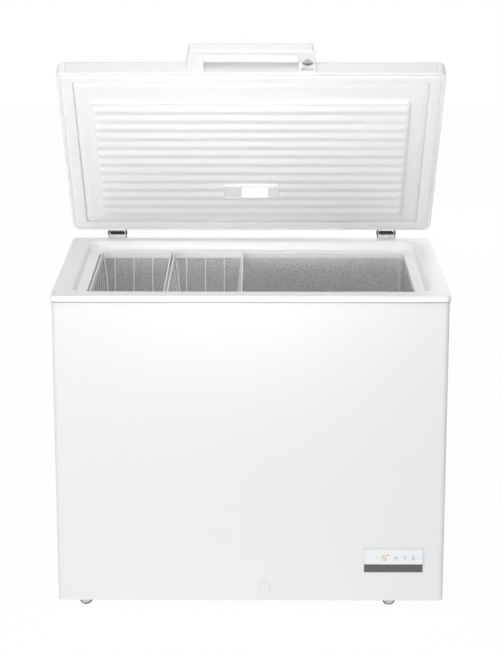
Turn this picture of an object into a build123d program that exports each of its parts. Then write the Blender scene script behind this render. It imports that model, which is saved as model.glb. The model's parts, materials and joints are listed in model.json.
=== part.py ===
"""Chest freezer with its lid open: every piece modelled at full size, in millimetres.

X is the width, Y runs from the front to the back and Z is up. The origin lies on the floor,
at the middle of the whole object's footprint. Lid pieces are drawn with the lid shut and are
turned about the hinge axis by open_angle when they are written.
"""
import math
import os

from build123d import *

os.makedirs("parts", exist_ok=True)

# ---- Overall sizes ----
width = 945.0  # collar and lid, side to side
depth = 588.0  # collar and lid, front to back
wall_spacing = 55.0  # the rear bumpers stand this far behind the collar
floor_clearance = 22.0  # floor to the underside of the cabinet
cabinet_height = 770.0  # underside of the cabinet to the top of the collar
open_angle = 53.2  # how far the lid stands open

# ---- Stock thicknesses and clearances ----
sheet = 0.8  # steel and aluminium sheet
tray_sheet = 1.5  # pressed steel of the tray, castors and hinges
moulding = 2.5  # plastic walls
side_gap = 0.3  # between pieces that lie side by side
running_gap = 0.05  # radial clearance of a turning fit
slide_gap = 0.8  # around pieces that lift or pull out
screw_r = 2.0
through = 8.0  # length of a cut that goes right through a thin wall

# ---- Cabinet shell ----
collar_overhang = 2.8  # collar beyond the casing, all round
casing_r = 12.0
casing_return = 24.0  # flanges bent in at the back edges
collar_r = 14.0
collar_band = 14.0  # visible height of the collar's edge
collar_plate = 3.0  # thickness of its top
flat_front = 49.0  # width of the collar's flat top
flat_back = 40.0
flat_side = 47.0
mouth_r = 32.0  # corners of the opening
drop = 23.0  # from the flat top down to the basket ledge
drop_draft = 4.0
ledge = 25.0  # width of the basket ledge, with the lip under it
lip = 16.0  # the lip that covers the tank's edge
pan_lip = 14.0  # edges of the base pan and tray, turned up inside the casing
bay_margin = 14.0  # above and below the bay's rear opening
cover_lap = 8.0  # rear cover beyond that opening

# ---- Tank, its step and the machine compartment under the step ----
floor_wall = 70.0  # cabinet underside to the tank floor
tank_r = 18.0
step_width = 206.0
step_height = 208.0
step_wall = 50.0  # foam between the tank's step and the compartment

# ---- Refrigeration ----
evaporator_r = 4.0
evaporator_loops = 6
evaporator_pitch = 62.0
evaporator_low = 60.0  # lowest loop, above the tank's step
condenser_r = 2.5
condenser_runs = 6
condenser_pitch = 66.0
condenser_bend = 24.0
condenser_margin = 60.0  # from the ends of the runs to the casing's inner corners
line_r = 3.0  # suction line
line_bend = 12.0
line_away = 9.0  # suction pipe behind the evaporator
liquid_up = 46.0  # condenser's return to the bay, above the cabinet's underside
capillary_r = 1.5
drier_r = 9.5
drier_h = 90.0
compressor_a = 72.0  # half width of the compressor's shell
compressor_b = 60.0  # half depth
compressor_h = 160.0
compressor_dome = 44.0
compressor_ahead = 140.0  # compressor's middle in front of the back panel
foot_x = 62.0  # compressor feet from its middle
foot_y = 54.0
foot_r = 12.0
bolt_r = 3.0
bolt_head_r = 5.5
bolt_head_h = 4.0
grommet_r = 10.0
grommet_h = 14.0
starter_w = 56.0
starter_d = 24.0
starter_h = 60.0
drive_w = 32.0  # inverter box on the bulkhead
drive_l = 130.0
drive_h = 90.0

# ---- Front fittings ----
panel_aside = 122.7  # middle of the control panel, from the casing's right side
panel_low = 72.0  # from the cabinet's underside to the panel's lower edge
panel_w = 148.0
panel_h = 65.0
panel_proud = 2.0
panel_frame = 3.0
panel_lip = 4.0  # bezel beyond its hole in the casing
strip_h = 20.0
window_t = 1.2
snap_d = 10.0  # depth of the bezel's body behind the casing's face
board_t = 1.6
drain_x = 33.0
drain_low = 34.0  # drain axis above the cabinet's underside
drain_bore_r = 8.0
drain_cap_r = 16.7
cap_plug = 14.0  # stems of the cap and the plug, in the drain tube
plug_h = 4.0
sump_setback = 70.0  # drain hole in the tank floor, behind the tank's front wall

# ---- Back fittings ----
inlet_r = 4.2
inlet_l = 14.0
inlet_aside = 24.0  # from the rear cover's edge
inlet_up = 42.0  # above the cabinet's underside
slot_h = 6.0
slot_count = 9
slot_margin = 32.0  # from the rear cover's sides to its slots
spacer_aside = 236.5  # middle of each bumper, from the collar's side
spacer_w = 40.0
spacer_h = 90.0
spacer_r = 10.0
spacer_taper = 6.0
spacer_down = 154.0  # below the collar's top

# ---- Castors ----
castor_left_aside = 65.7  # castor axes from the casing's sides
castor_right_aside = 130.7
castor_front_setback = 31.0  # castor axis behind the casing's front
castor_back_setback = 45.0
wheel_r = 16.0
wheel_w = 17.0
axle_r = 2.5
axle_head_r = 4.0
flange = 9.0  # of the castor cups, under the cabinet
flange_side = 3.0
ear_inset = 4.0  # wheel's rim beyond the cup's rounded ears

# ---- Hinges ----
hinge_behind = 19.0  # hinge axis behind the collar
hinge_above = 9.0  # and above its top
hinge_aside = 115.5  # middle of each hinge, from the collar's side
hinge_w = 47.0
pin_r = 3.0
pin_head_r = 4.8
pin_head = 2.0
knuckle_r = 8.0
arm_inset = 1.0  # lid arm's knuckle inside the cabinet leaf's
spring_wire_r = 1.3
spring_pitch = 3.6
hinge_drop = 96.0  # length of the cabinet leaf below the collar's band

# ---- Lid ----
lid_gap = 6.0  # gasket space between the collar and the lid's rim
skirt = 40.0
lid_r = 20.0
lid_edge_r = 9.0
crown = 4.0
crown_inset = 34.0
cap_size = 21.0
frame_w = 30.0  # inner frame of the rim
frame_h = 7.0
gasket_inset = 9.0
gasket_w = 16.0
groove_w = 6.0
liner_wall = 1.8
liner_step = 4.5  # first step of the liner, above the collar
liner_slope = 11.0
field_inset = 70.0
field_step = 9.0  # second step, which dips into the collar
field_draft = 4.0
rib_pitch = 30.0
rib_count = 13
rib_w = 20.0
rib_h = 3.0
rib_slope = 60.0  # of the ribs' sides
lamp_w = 143.0
lamp_d = 49.0
lamp_lens_w = 73.0
lamp_from_hinge = 170.0
lamp_proud = 4.0
lamp_lip = 4.0
lamp_leds = 4

# ---- Handle and lock ----
handle_w = 315.0
handle_front_w = 296.0
handle_opening_w = 230.0
handle_reach = 60.0
bar_t = 13.0
bar_low = 12.0
bar_high = 42.0
leg_low = 2.0
leg_high = 38.0
leg_x = 136.0
lock_behind_front = 29.0
lock_r = 8.0
leg_taper = 6.0
seat_depth = 3.0  # flat seat cut for the lock under its leg
pocket_w = 30.0
pocket_near = 2.0
pocket_far = 14.0
pocket_depth = 6.0
screw_l = 14.0
key_w = 1.6
key_l = 7.0
key_depth = 6.0
cam_l = 26.0
cam_w = 7.0
handle_screw_inset = 11.0  # screws from each side of a leg
handle_screw_up = 22.0  # above the lid's rim

# ---- Baskets ----
basket_aside = 6.0  # left basket from the side of the collar's opening
basket_pitch = 187.5
basket_w = 182.0
basket_h = 205.0
basket_taper = 9.0
basket_band = 19.0
basket_wall = 2.6
basket_rim = 18.0  # rim resting on the ledge, front and back
basket_rib = 6.0
basket_end_pitch = 49.0
basket_side_pitch = 32.0
basket_corner_r = 10.0
basket_gap = 1.6  # from a basket's body to the lip, front and back

# ---- Places worked out from the sizes above ----
front_y = -(depth + wall_spacing) / 2
back_y = front_y + depth
rear_y = back_y + wall_spacing
mid_y = (front_y + back_y) / 2
base_z = floor_clearance
top_z = base_z + cabinet_height

casing_w = width - 2 * collar_overhang
casing_front = front_y + collar_overhang
casing_back = back_y - collar_overhang
casing_side = casing_w / 2
casing_top = top_z - collar_plate - side_gap
panel_x = casing_side - panel_aside
castor_left_x = castor_left_aside - casing_side
castor_right_x = casing_side - castor_right_aside
hinge_x = width / 2 - hinge_aside
spacer_x = width / 2 - spacer_aside

mouth_w = width - 2 * flat_side
mouth_d = depth - flat_front - flat_back
mouth_y = mid_y + (flat_front - flat_back) / 2
ledge_z = top_z - drop
lip_inset = drop_draft + ledge
lip_z = ledge_z - lip
opening_w = mouth_w - 2 * lip_inset
opening_d = mouth_d - 2 * lip_inset

tank_w = opening_w + 2 * (moulding + side_gap)
tank_d = opening_d + 2 * (moulding + side_gap)
tank_front = mouth_y - tank_d / 2
tank_back = mouth_y + tank_d / 2
tank_floor = base_z + floor_wall
tank_top = ledge_z - moulding - side_gap
step_x = tank_w / 2 - step_width
step_z = tank_floor + step_height
bay_x = step_x + step_wall
bay_top = step_z - step_wall

hinge_y = back_y + hinge_behind
hinge_z = top_z + hinge_above
lid_hinge = Axis((0, hinge_y, hinge_z), (1, 0, 0))
rim_z = top_z + lid_gap
lid_top = rim_z + skirt
handle_screw_z = rim_z + handle_screw_up
handle_screw_xs = [
    side * leg_x + dx for side in (-1, 1) for dx in (-handle_screw_inset, handle_screw_inset)
]


def save(name, piece):
    """Label a piece of the cabinet and write it."""
    piece.label = name
    export_step(piece, f"parts/{name}.step")


def save_lid(name, piece):
    """Turn a lid piece open about the hinges, then label and write it."""
    save(name, piece.rotate(lid_hinge, -open_angle))


def block(x, y, z, mode=Mode.ADD):
    """Add or cut a box given by its limits along each axis."""
    with Locations(((x[0] + x[1]) / 2, (y[0] + y[1]) / 2, (z[0] + z[1]) / 2)):
        Box(x[1] - x[0], y[1] - y[0], z[1] - z[0], mode=mode)


def outline(inset, radius, mode=Mode.ADD):
    """Draw the rounded outline of the collar and the lid, drawn in on every side."""
    with Locations((0, mid_y)):
        RectangleRounded(width - 2 * inset, depth - 2 * inset, radius, mode=mode)


def mouth(inset, radius, mode=Mode.ADD):
    """Draw the outline of the collar's opening, drawn in on every side."""
    with Locations((0, mouth_y)):
        RectangleRounded(mouth_w - 2 * inset, mouth_d - 2 * inset, radius, mode=mode)


def rod(radius, start, direction, length, mode=Mode.ADD):
    """Add or cut a straight rod from a point along a direction."""
    with BuildSketch(Plane(origin=start, z_dir=direction)) as disc:
        Circle(radius)
    extrude(disc.sketch, amount=length, mode=mode)


def screw_hole(start, direction):
    """Cut the clearance hole of a screw through a thin wall."""
    rod(screw_r + running_gap, start, direction, through, Mode.SUBTRACT)


def tube(points, radius, bend):
    """Return a bent tube of straight runs joined by arcs."""
    with BuildPart() as bent:
        with BuildLine() as route:
            FilletPolyline(*points, radius=bend)
        with BuildSketch(Plane(origin=route.line @ 0, z_dir=route.line % 0)):
            Circle(radius)
        sweep()
    return bent.part


# ======== Cabinet shell ========
# The casing is one sheet wrapped round the front and both sides, open at the back.
panel_z = base_z + panel_low + panel_h / 2
drain_z = base_z + drain_low
with BuildPart() as outer_casing:
    with BuildSketch(Plane.XY.offset(base_z)):
        outline(collar_overhang, casing_r)
        outline(collar_overhang + sheet, casing_r - sheet, Mode.SUBTRACT)
        with Locations((0, casing_back)):
            Rectangle(casing_w - 2 * casing_return, 2 * casing_r, mode=Mode.SUBTRACT)
    extrude(amount=casing_top - base_z)
    with BuildSketch(Plane.XZ.offset(-casing_front)):
        with Locations((panel_x, panel_z)):
            Rectangle(panel_w - 2 * panel_lip, panel_h - 2 * panel_lip)
        with Locations((drain_x, drain_z)):
            Circle(drain_bore_r + moulding + side_gap)
    extrude(amount=-2 * sheet, both=True, mode=Mode.SUBTRACT)
save("outer_casing", outer_casing.part)

# The back panel lies inside the casing's bent flanges. The machine bay is open behind.
back_face = casing_back - sheet - side_gap  # outer face of the back panel
back_inner = back_face - sheet
bay_mid_x = (bay_x + casing_side) / 2
bay_mid_z = (base_z + bay_top) / 2
bay_open_w = casing_side - bay_x - 2 * (casing_return + cover_lap + moulding)
bay_open_h = bay_top - base_z - 2 * bay_margin
panel_side = casing_side - casing_r
with BuildPart() as back_panel:
    block((-panel_side, panel_side), (back_inner, back_face), (base_z, casing_top))
    with BuildSketch(Plane.XZ.offset(-back_face)):
        with Locations((bay_mid_x, bay_mid_z)):
            Rectangle(bay_open_w, bay_open_h)
    extrude(amount=-2 * sheet, both=True, mode=Mode.SUBTRACT)
save("back_panel", back_panel.part)

# ======== Base: pan, machine tray, bulkhead and foam ========
inner_side = casing_side - sheet - side_gap
inner_front = casing_front + sheet + side_gap
inner_back = back_inner - side_gap
castor_ys = (casing_front + castor_front_setback, casing_back - castor_back_setback)
cup_wall = tray_sheet
cup_w = 2 * (wheel_r + side_gap + slide_gap + cup_wall)
cup_d = wheel_w + 2 * (slide_gap + cup_wall)
cup_top = 2 * wheel_r + 2 * slide_gap + cup_wall
cup_hole_w = cup_w + 2 * slide_gap
cup_hole_d = cup_d + 2 * slide_gap


def castor_holes(xs):
    """Cut the holes that the castor cups stand up through."""
    with Locations([(x, y, base_z) for x in xs for y in castor_ys]):
        Box(cup_hole_w, cup_hole_d, through, mode=Mode.SUBTRACT)


pan_inset = collar_overhang + sheet + side_gap
pan_r = casing_r - sheet - side_gap
with BuildPart() as base_pan:
    with BuildSketch(Plane.XY.offset(base_z)):
        outline(pan_inset, pan_r)
    extrude(amount=pan_lip)
    with BuildSketch(Plane.XY.offset(base_z + sheet)):
        outline(pan_inset + sheet, pan_r - sheet)
    extrude(amount=pan_lip, mode=Mode.SUBTRACT)
    block((bay_x, width), (front_y, back_y), (0, top_z), Mode.SUBTRACT)
    block((-width, width), (inner_back, back_y), (0, top_z), Mode.SUBTRACT)
    castor_holes([castor_left_x])
save("base_pan", base_pan.part)

compressor_x = bay_mid_x
compressor_y = inner_back - compressor_ahead
foot_points = [
    (compressor_x + x, compressor_y + y) for x in (-foot_x, foot_x) for y in (-foot_y, foot_y)
]
tray_x = bay_x + side_gap


def bay_plan(grow, back):
    """Draw the machine bay's floor, with its rounded front corner, grown on every side but the back."""
    outline(pan_inset - grow, pan_r + grow)
    left = tray_x - grow
    with Locations(((left + width) / 2, (front_y + back) / 2)):
        Rectangle(width - left, back - front_y, mode=Mode.INTERSECT)


with BuildPart() as compressor_tray:
    with BuildSketch(Plane.XY.offset(base_z)):
        bay_plan(0, inner_back)
    extrude(amount=pan_lip)
    with BuildSketch(Plane.XY.offset(base_z + tray_sheet)):
        bay_plan(-tray_sheet, inner_back - tray_sheet)
    extrude(amount=pan_lip, mode=Mode.SUBTRACT)
    castor_holes([castor_right_x])
    with Locations([(x, y, base_z) for x, y in foot_points]):
        Cylinder(bolt_r + running_gap, through, mode=Mode.SUBTRACT)
save("compressor_tray", compressor_tray.part)

# The bulkhead closes the foam off from the machine bay, at its side and over it.
line_hole_r = line_r + side_gap
coil_gap = sheet + side_gap + evaporator_r  # evaporator axis from the tank's inner face
coil_x = tank_w / 2 + coil_gap
coil_front = tank_front - coil_gap
coil_back = tank_back + coil_gap
coil_r = tank_r + coil_gap
suction_x = compressor_x - foot_x
suction_y = coil_back + evaporator_r + line_away
liquid_y = inner_back - side_gap - condenser_r  # condenser's run along the back panel
liquid_z = base_z + liquid_up
drier_x = bay_x + sheet + side_gap + 2 * drier_r
side_x = inner_side - condenser_r  # condenser axis at the side walls
run_front = casing_front + condenser_margin
run_back = casing_back - condenser_margin
bulkhead_low = base_z + pan_lip + side_gap
with BuildPart() as bulkhead:
    block((bay_x, bay_x + sheet), (inner_front, inner_back), (bulkhead_low, bay_top))
    with BuildSketch(Plane.XY.offset(bay_top - sheet)):
        bay_plan(0, inner_back)
    extrude(amount=sheet)
    for x, y in ((suction_x, suction_y), (drier_x, coil_back), (side_x, run_back)):
        rod(line_hole_r, (x, y, bay_top - through / 2), (0, 0, 1), through, Mode.SUBTRACT)
    rod(line_hole_r, (bay_x - through / 2, liquid_y, liquid_z), (1, 0, 0), through, Mode.SUBTRACT)
save("bulkhead", bulkhead.part)


# ======== Tank and collar ========
def stepped_tub(grow, top):
    """Return the space of the tank with its step, grown on every side and cut off at the top."""
    with BuildPart() as tub:
        with BuildSketch(Plane.XY.offset(tank_floor - grow)):
            with Locations((0, mouth_y)):
                RectangleRounded(tank_w + 2 * grow, tank_d + 2 * grow, tank_r + grow)
        extrude(amount=top - tank_floor + grow)
        block(
            (step_x + grow, width),
            (front_y, back_y),
            (0, step_z - grow),
            Mode.SUBTRACT,
        )
    return tub.part


drain_r = drain_bore_r + moulding  # outside of the drain tube
sump_y = tank_front + sump_setback
with BuildPart() as tank_liner:
    add(stepped_tub(sheet, tank_top))
    add(stepped_tub(0, top_z), mode=Mode.SUBTRACT)
    rod(drain_r + side_gap, (drain_x, sump_y, tank_floor + sheet), (0, 0, -1), through, Mode.SUBTRACT)
save("tank_liner", tank_liner.part)

# The collar snaps over the casing and drops to the basket ledge inside.
ledge_r = mouth_r - drop_draft
with BuildPart() as collar:
    with BuildSketch(Plane.XY.offset(top_z - collar_band)):
        outline(0, collar_r)
        outline(collar_overhang - side_gap, collar_r - collar_overhang + side_gap, Mode.SUBTRACT)
    extrude(amount=collar_band)
    with BuildSketch(Plane.XY.offset(top_z - collar_plate)):
        outline(0, collar_r)
    extrude(amount=collar_plate)
    with BuildSketch(Plane.XY.offset(ledge_z + side_gap)):
        mouth(-moulding, mouth_r + moulding)
    extrude(amount=drop - side_gap - collar_plate / 2)
    with BuildSketch(Plane.XY.offset(top_z)):
        mouth(0, mouth_r)
    with BuildSketch(Plane.XY.offset(ledge_z)):
        mouth(drop_draft, ledge_r)
    loft(mode=Mode.SUBTRACT)
    rim_edges = collar.edges().group_by(Axis.Z)[-1]
    fillet(rim_edges, collar_plate / 2)
save("collar", collar.part)

# The breaker strip is the basket ledge. It keeps the cold tank off the collar and laps over its edge.
with BuildPart() as breaker_strip:
    with BuildSketch(Plane.XY.offset(ledge_z - moulding)):
        mouth(-moulding, mouth_r + moulding)
    extrude(amount=moulding)
    with BuildSketch(Plane.XY.offset(lip_z)):
        mouth(lip_inset - moulding, tank_r + moulding)
    extrude(amount=lip)
    with BuildSketch(Plane.XY.offset(lip_z)):
        mouth(lip_inset, tank_r)
    extrude(amount=lip, mode=Mode.SUBTRACT)
save("breaker_strip", breaker_strip.part)

# Foam fills the walls, with room for the evaporator round the tank and for the condenser.
foam_gap = evaporator_r * 2 + 2 * side_gap
foam_inset = pan_inset + sheet + side_gap
foam_r = pan_r - sheet - side_gap
recess = 2 * condenser_r + 2 * side_gap
run_low = step_z + condenser_margin
run_high = run_low + (condenser_runs - 1) * condenser_pitch
foam_side = width / 2 - foam_inset
foam_neck_z = ledge_z - moulding - side_gap
coil_low = step_z + evaporator_low
coil_high = coil_low + (evaporator_loops - 1) * evaporator_pitch
chase = evaporator_r + side_gap  # half width of the channel for the suction pipe
coil_rise = evaporator_pitch / 3  # the run across the back starts lower, and leaves higher
with BuildPart() as cabinet_foam:
    with BuildSketch(Plane.XY.offset(base_z + sheet + side_gap)):
        outline(foam_inset, foam_r)
    extrude(amount=foam_neck_z - base_z - sheet - side_gap)
    with BuildSketch(Plane.XY.offset(foam_neck_z)):
        outline(foam_inset, foam_r)
        mouth(-moulding - side_gap, mouth_r + moulding + side_gap, Mode.SUBTRACT)
    extrude(amount=drop + moulding - collar_plate)
    block((-width, width), (inner_back, back_y), (0, top_z), Mode.SUBTRACT)
    block((bay_x - side_gap, width), (front_y, back_y), (0, bay_top + side_gap), Mode.SUBTRACT)
    add(stepped_tub(sheet + foam_gap, top_z), mode=Mode.SUBTRACT)
    for side, low in ((-1, liquid_z), (1, bay_top)):
        with Locations((side * foam_side, (run_front + inner_back) / 2, (low + run_high) / 2)):
            Box(
                2 * recess,
                inner_back - run_front + 4 * recess,
                run_high - low + 4 * recess,
                mode=Mode.SUBTRACT,
            )
    for x_end, z in ((width, run_high), (bay_x, liquid_z)):
        block((-width, x_end), (inner_back - recess, back_y), (z - recess, z + recess), Mode.SUBTRACT)
    corners = [(foam_side, run_high), (-foam_side, run_high), (-foam_side, liquid_z)]
    with Locations([(x, inner_back, z) for x, z in corners]):
        Box(2 * condenser_bend, 2 * condenser_bend, 4 * recess, mode=Mode.SUBTRACT)
    with Locations([(castor_left_x, y, base_z) for y in castor_ys]):
        Box(cup_hole_w, cup_hole_d, 2 * (cup_top - base_z + slide_gap), mode=Mode.SUBTRACT)
    rod(drain_r + side_gap, (drain_x, front_y, drain_z), (0, 1, 0), sump_y - front_y, Mode.SUBTRACT)
    rod(drain_r + side_gap, (drain_x, sump_y, drain_z), (0, 0, 1), tank_floor - drain_z, Mode.SUBTRACT)
    with Locations((drain_x, sump_y, drain_z)):
        Sphere(drain_r + side_gap, mode=Mode.SUBTRACT)
    rod(line_hole_r, (drier_x, coil_back, bay_top), (0, 0, 1), step_z - bay_top, Mode.SUBTRACT)
    block(
        (suction_x - chase, coil_x + chase),
        (tank_back - coil_r, suction_y + chase),
        (bay_top, coil_high + coil_rise + 2 * line_r),
        Mode.SUBTRACT,
    )
save("cabinet_foam", cabinet_foam.part)

# ======== Refrigeration circuit ========
coil_points = [(drier_x, coil_back, step_z), (drier_x, coil_back, coil_low - coil_rise)]
for loop in range(evaporator_loops):
    z = coil_low + loop * evaporator_pitch
    coil_points += [
        (-coil_x, coil_back, z),
        (-coil_x, coil_front, z),
        (coil_x, coil_front, z),
        (coil_x, coil_back, z),
    ]
coil_points += [(suction_x, suction_y, coil_high + coil_rise), (suction_x, suction_y, step_z)]
coil_bends = [line_bend] + [coil_r] * 4 * evaporator_loops + [line_bend]
save("evaporator_coil", tube(coil_points, evaporator_r, coil_bends))

compressor_low = base_z + tray_sheet + grommet_h / 2
compressor_top = compressor_low + compressor_h
feet_z = base_z + tray_sheet + grommet_h
pipe_x = (compressor_a - compressor_dome) / 2  # suction and discharge pipes, each side of the middle
pipe_z = compressor_top + 2 * line_bend + side_gap
suction_points = [
    (suction_x, suction_y, step_z),
    (suction_x, suction_y, pipe_z),
    (compressor_x - pipe_x, compressor_y, pipe_z),
    (compressor_x - pipe_x, compressor_y, compressor_top),
]
save("suction_line", tube(suction_points, line_r, line_bend))

with BuildPart() as compressor:
    with BuildSketch(Plane.XY.offset(compressor_low)):
        with Locations((compressor_x, compressor_y)):
            Ellipse(compressor_a, compressor_b)
    extrude(amount=compressor_h)
    fillet(compressor.edges().group_by(Axis.Z)[-1], compressor_dome)
    fillet(compressor.edges().group_by(Axis.Z)[0], compressor_dome / 4)
    with BuildSketch(Plane.XY.offset(feet_z)):
        with Locations((compressor_x, compressor_y)):
            RectangleRounded(2 * (foot_x + foot_r), 2 * (foot_y + foot_r), foot_r)
        with Locations(foot_points):
            Circle(bolt_r + running_gap, mode=Mode.SUBTRACT)
    extrude(amount=2 * tray_sheet)
save("compressor", compressor.part)

with BuildPart() as compressor_grommets:
    with BuildSketch(Plane.XY.offset(base_z + tray_sheet)):
        with Locations(foot_points):
            Circle(grommet_r)
            Circle(bolt_r + running_gap, mode=Mode.SUBTRACT)
    extrude(amount=grommet_h)
save("compressor_grommets", compressor_grommets.part)

nut_z = feet_z + 2 * tray_sheet
with BuildPart() as compressor_bolts:
    with BuildSketch(Plane.XY.offset(base_z - bolt_head_h)):
        with Locations(foot_points):
            RegularPolygon(bolt_head_r, 6)
    extrude(amount=bolt_head_h)
    with BuildSketch(Plane.XY.offset(base_z)):
        with Locations(foot_points):
            Circle(bolt_r)
    extrude(amount=nut_z + 2 * bolt_head_h - base_z)
    with BuildSketch(Plane.XY.offset(nut_z)):
        with Locations(foot_points):
            RegularPolygon(bolt_head_r, 6)
    extrude(amount=bolt_head_h)
save("compressor_bolts", compressor_bolts.part)

with BuildPart() as starter_cover:
    block(
        (compressor_x - starter_w / 2, compressor_x + starter_w / 2),
        (compressor_y - compressor_b - side_gap - starter_d, compressor_y - compressor_b - side_gap),
        (feet_z + 4 * tray_sheet, feet_z + 4 * tray_sheet + starter_h),
    )
    fillet(starter_cover.edges().group_by(Axis.Y)[0], 3 * moulding)
save("starter_cover", starter_cover.part)

drive_z = bay_mid_z - drive_h / 4
with BuildPart() as inverter_box:
    block(
        (bay_x + sheet, bay_x + sheet + drive_w),
        (mid_y - drive_l, mid_y),
        (drive_z, drive_z + drive_h),
    )
    fillet(inverter_box.edges().group_by(Axis.X)[-1], moulding)
save("inverter_box", inverter_box.part)

drier_z = liquid_z + condenser_bend + line_bend
with BuildPart() as filter_drier:
    with Locations((drier_x, coil_back, drier_z + drier_h / 2)):
        Cylinder(drier_r, drier_h)
    fillet(filter_drier.edges(), drier_r / 2)
save("filter_drier", filter_drier.part)

with BuildPart() as capillary_tube:
    rod(capillary_r, (drier_x, coil_back, drier_z + drier_h), (0, 0, 1), step_z - drier_z - drier_h)
save("capillary_tube", capillary_tube.part)

condenser_points = [
    (compressor_x + pipe_x, compressor_y, compressor_top),
    (compressor_x + pipe_x, compressor_y, pipe_z),
    (side_x, run_back, pipe_z),
]
for run in range(condenser_runs):
    z = run_low + run * condenser_pitch
    ends = (run_back, run_front) if run % 2 == 0 else (run_front, run_back)
    condenser_points += [(side_x, y, z) for y in ends]
condenser_points[-1] = (side_x, liquid_y, run_high)
condenser_points.append((-side_x, liquid_y, run_high))
for run in reversed(range(condenser_runs)):
    z = run_low + run * condenser_pitch
    ends = (run_back, run_front) if run % 2 == 1 else (run_front, run_back)
    condenser_points += [(-side_x, y, z) for y in ends]
del condenser_points[-2 * condenser_runs]
condenser_points += [
    (-side_x, run_back, liquid_z),
    (-side_x, liquid_y, liquid_z),
    (drier_x, liquid_y, liquid_z),
    (drier_x, coil_back, liquid_z),
    (drier_x, coil_back, drier_z),
]
condenser_bends = [line_bend] * 2 + [condenser_bend] * (len(condenser_points) - 4)
save("condenser_coil", tube(condenser_points, condenser_r, condenser_bends))

# ======== Back fittings ========
cover_w = bay_open_w + 2 * cover_lap
cover_h = bay_open_h + 2 * cover_lap
slot_w = cover_w - 2 * slot_margin
slot_pitch = bay_open_h / (slot_count + 1)
cover_screws = [(x * (cover_w / 2 - cover_lap / 2), z * (cover_h / 2 - cover_lap / 2))
                for x in (-1, 1) for z in (-1, 1)]
with BuildPart() as rear_cover:
    with BuildSketch(Plane((bay_mid_x, back_face, bay_mid_z), (-1, 0, 0), (0, 1, 0))):
        RectangleRounded(cover_w, cover_h, cover_lap / 2)
        with GridLocations(0, slot_pitch, 1, slot_count):
            SlotOverall(slot_w, slot_h, mode=Mode.SUBTRACT)
        with Locations(cover_screws):
            Circle(screw_r + running_gap, mode=Mode.SUBTRACT)
    extrude(amount=moulding)
save("rear_cover", rear_cover.part)

with BuildPart() as rear_cover_screws:
    with BuildSketch(Plane((bay_mid_x, back_face + moulding, bay_mid_z), (-1, 0, 0), (0, 1, 0))):
        with Locations(cover_screws):
            Circle(2 * screw_r)
    extrude(amount=screw_r)
    with BuildSketch(Plane((bay_mid_x, back_face, bay_mid_z), (-1, 0, 0), (0, 1, 0))):
        with Locations(cover_screws):
            Circle(screw_r)
    extrude(amount=moulding)
save("rear_cover_screws", rear_cover_screws.part)

spacer_z = top_z - spacer_down
with BuildPart() as rear_spacers:
    with BuildSketch(Plane.XZ.offset(-back_face)):
        with Locations((-spacer_x, spacer_z), (spacer_x, spacer_z)):
            RectangleRounded(spacer_w, spacer_h, spacer_r)
    extrude(amount=-(rear_y - back_face), taper=spacer_taper)
save("rear_spacers", rear_spacers.part)

# The cord enters through a moulded inlet in the back panel, beside the rear cover.
inlet_x = bay_mid_x - cover_w / 2 - inlet_aside
inlet_z = base_z + inlet_up
with BuildPart() as cord_inlet:
    with BuildSketch(Plane.XZ.offset(-back_face)):
        with Locations((inlet_x, inlet_z)):
            Circle(2 * inlet_r)
            Circle(inlet_r, mode=Mode.SUBTRACT)
    extrude(amount=-inlet_l)
    fillet(cord_inlet.edges().group_by(Axis.Y)[-1].sort_by(SortBy.LENGTH)[-1], moulding / 2)
save("cord_inlet", cord_inlet.part)

# ======== Control panel ========
panel_face = casing_front - panel_proud
window_low = panel_z - panel_h / 2 + panel_frame + strip_h
window_h = panel_h - 2 * panel_frame - strip_h
window_w = panel_w - 2 * panel_frame
with BuildPart() as control_bezel:
    with BuildSketch(Plane.XZ.offset(-casing_front)):
        with Locations((panel_x, panel_z)):
            RectangleRounded(panel_w, panel_h, panel_frame)
    extrude(amount=panel_proud)
    fillet(control_bezel.edges().group_by(Axis.Y)[0], panel_proud / 3)
    with BuildSketch(Plane.XZ.offset(-casing_front)):
        with Locations((panel_x, panel_z)):
            Rectangle(panel_w - 2 * panel_lip - 2 * side_gap, panel_h - 2 * panel_lip - 2 * side_gap)
    extrude(amount=-snap_d)
    with BuildSketch(Plane.XZ.offset(-panel_face)):
        with Locations((panel_x, panel_z)):
            Rectangle(window_w, panel_h - 2 * panel_frame)
    extrude(amount=-window_t, mode=Mode.SUBTRACT)
    with BuildSketch(Plane.XZ.offset(-panel_face - window_t)):
        with Locations((panel_x, panel_z)):
            Rectangle(window_w - 4 * moulding, panel_h - 2 * panel_frame - 4 * moulding)
    extrude(amount=-2 * snap_d, mode=Mode.SUBTRACT)
save("control_bezel", control_bezel.part)

with BuildPart() as display_window:
    block(
        (panel_x - window_w / 2, panel_x + window_w / 2),
        (panel_face, panel_face + window_t),
        (window_low, window_low + window_h),
    )
save("display_window", display_window.part)

with BuildPart() as panel_strip:
    block(
        (panel_x - window_w / 2, panel_x + window_w / 2),
        (panel_face, panel_face + window_t),
        (window_low - strip_h, window_low),
    )
save("panel_strip", panel_strip.part)

board_w = window_w - 4 * moulding - 2 * side_gap
with BuildPart() as display_board:
    block(
        (panel_x - board_w / 2, panel_x + board_w / 2),
        (panel_face + window_t + side_gap, panel_face + window_t + side_gap + board_t),
        (window_low - strip_h / 2, window_low + window_h - 2 * moulding - side_gap),
    )
save("display_board", display_board.part)

# ======== Defrost drain ========
# A tube runs from the tank floor to the front. A plug closes it inside and a cap outside.
with BuildPart() as drain_tube:
    for radius, mode in ((drain_r, Mode.ADD), (drain_bore_r, Mode.SUBTRACT)):
        rod(radius, (drain_x, casing_front, drain_z), (0, 1, 0), sump_y - casing_front, mode)
        rod(radius, (drain_x, sump_y, drain_z), (0, 0, 1), tank_floor - drain_z, mode)
        with Locations((drain_x, sump_y, drain_z)):
            Sphere(radius, mode=mode)
save("drain_tube", drain_tube.part)

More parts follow.
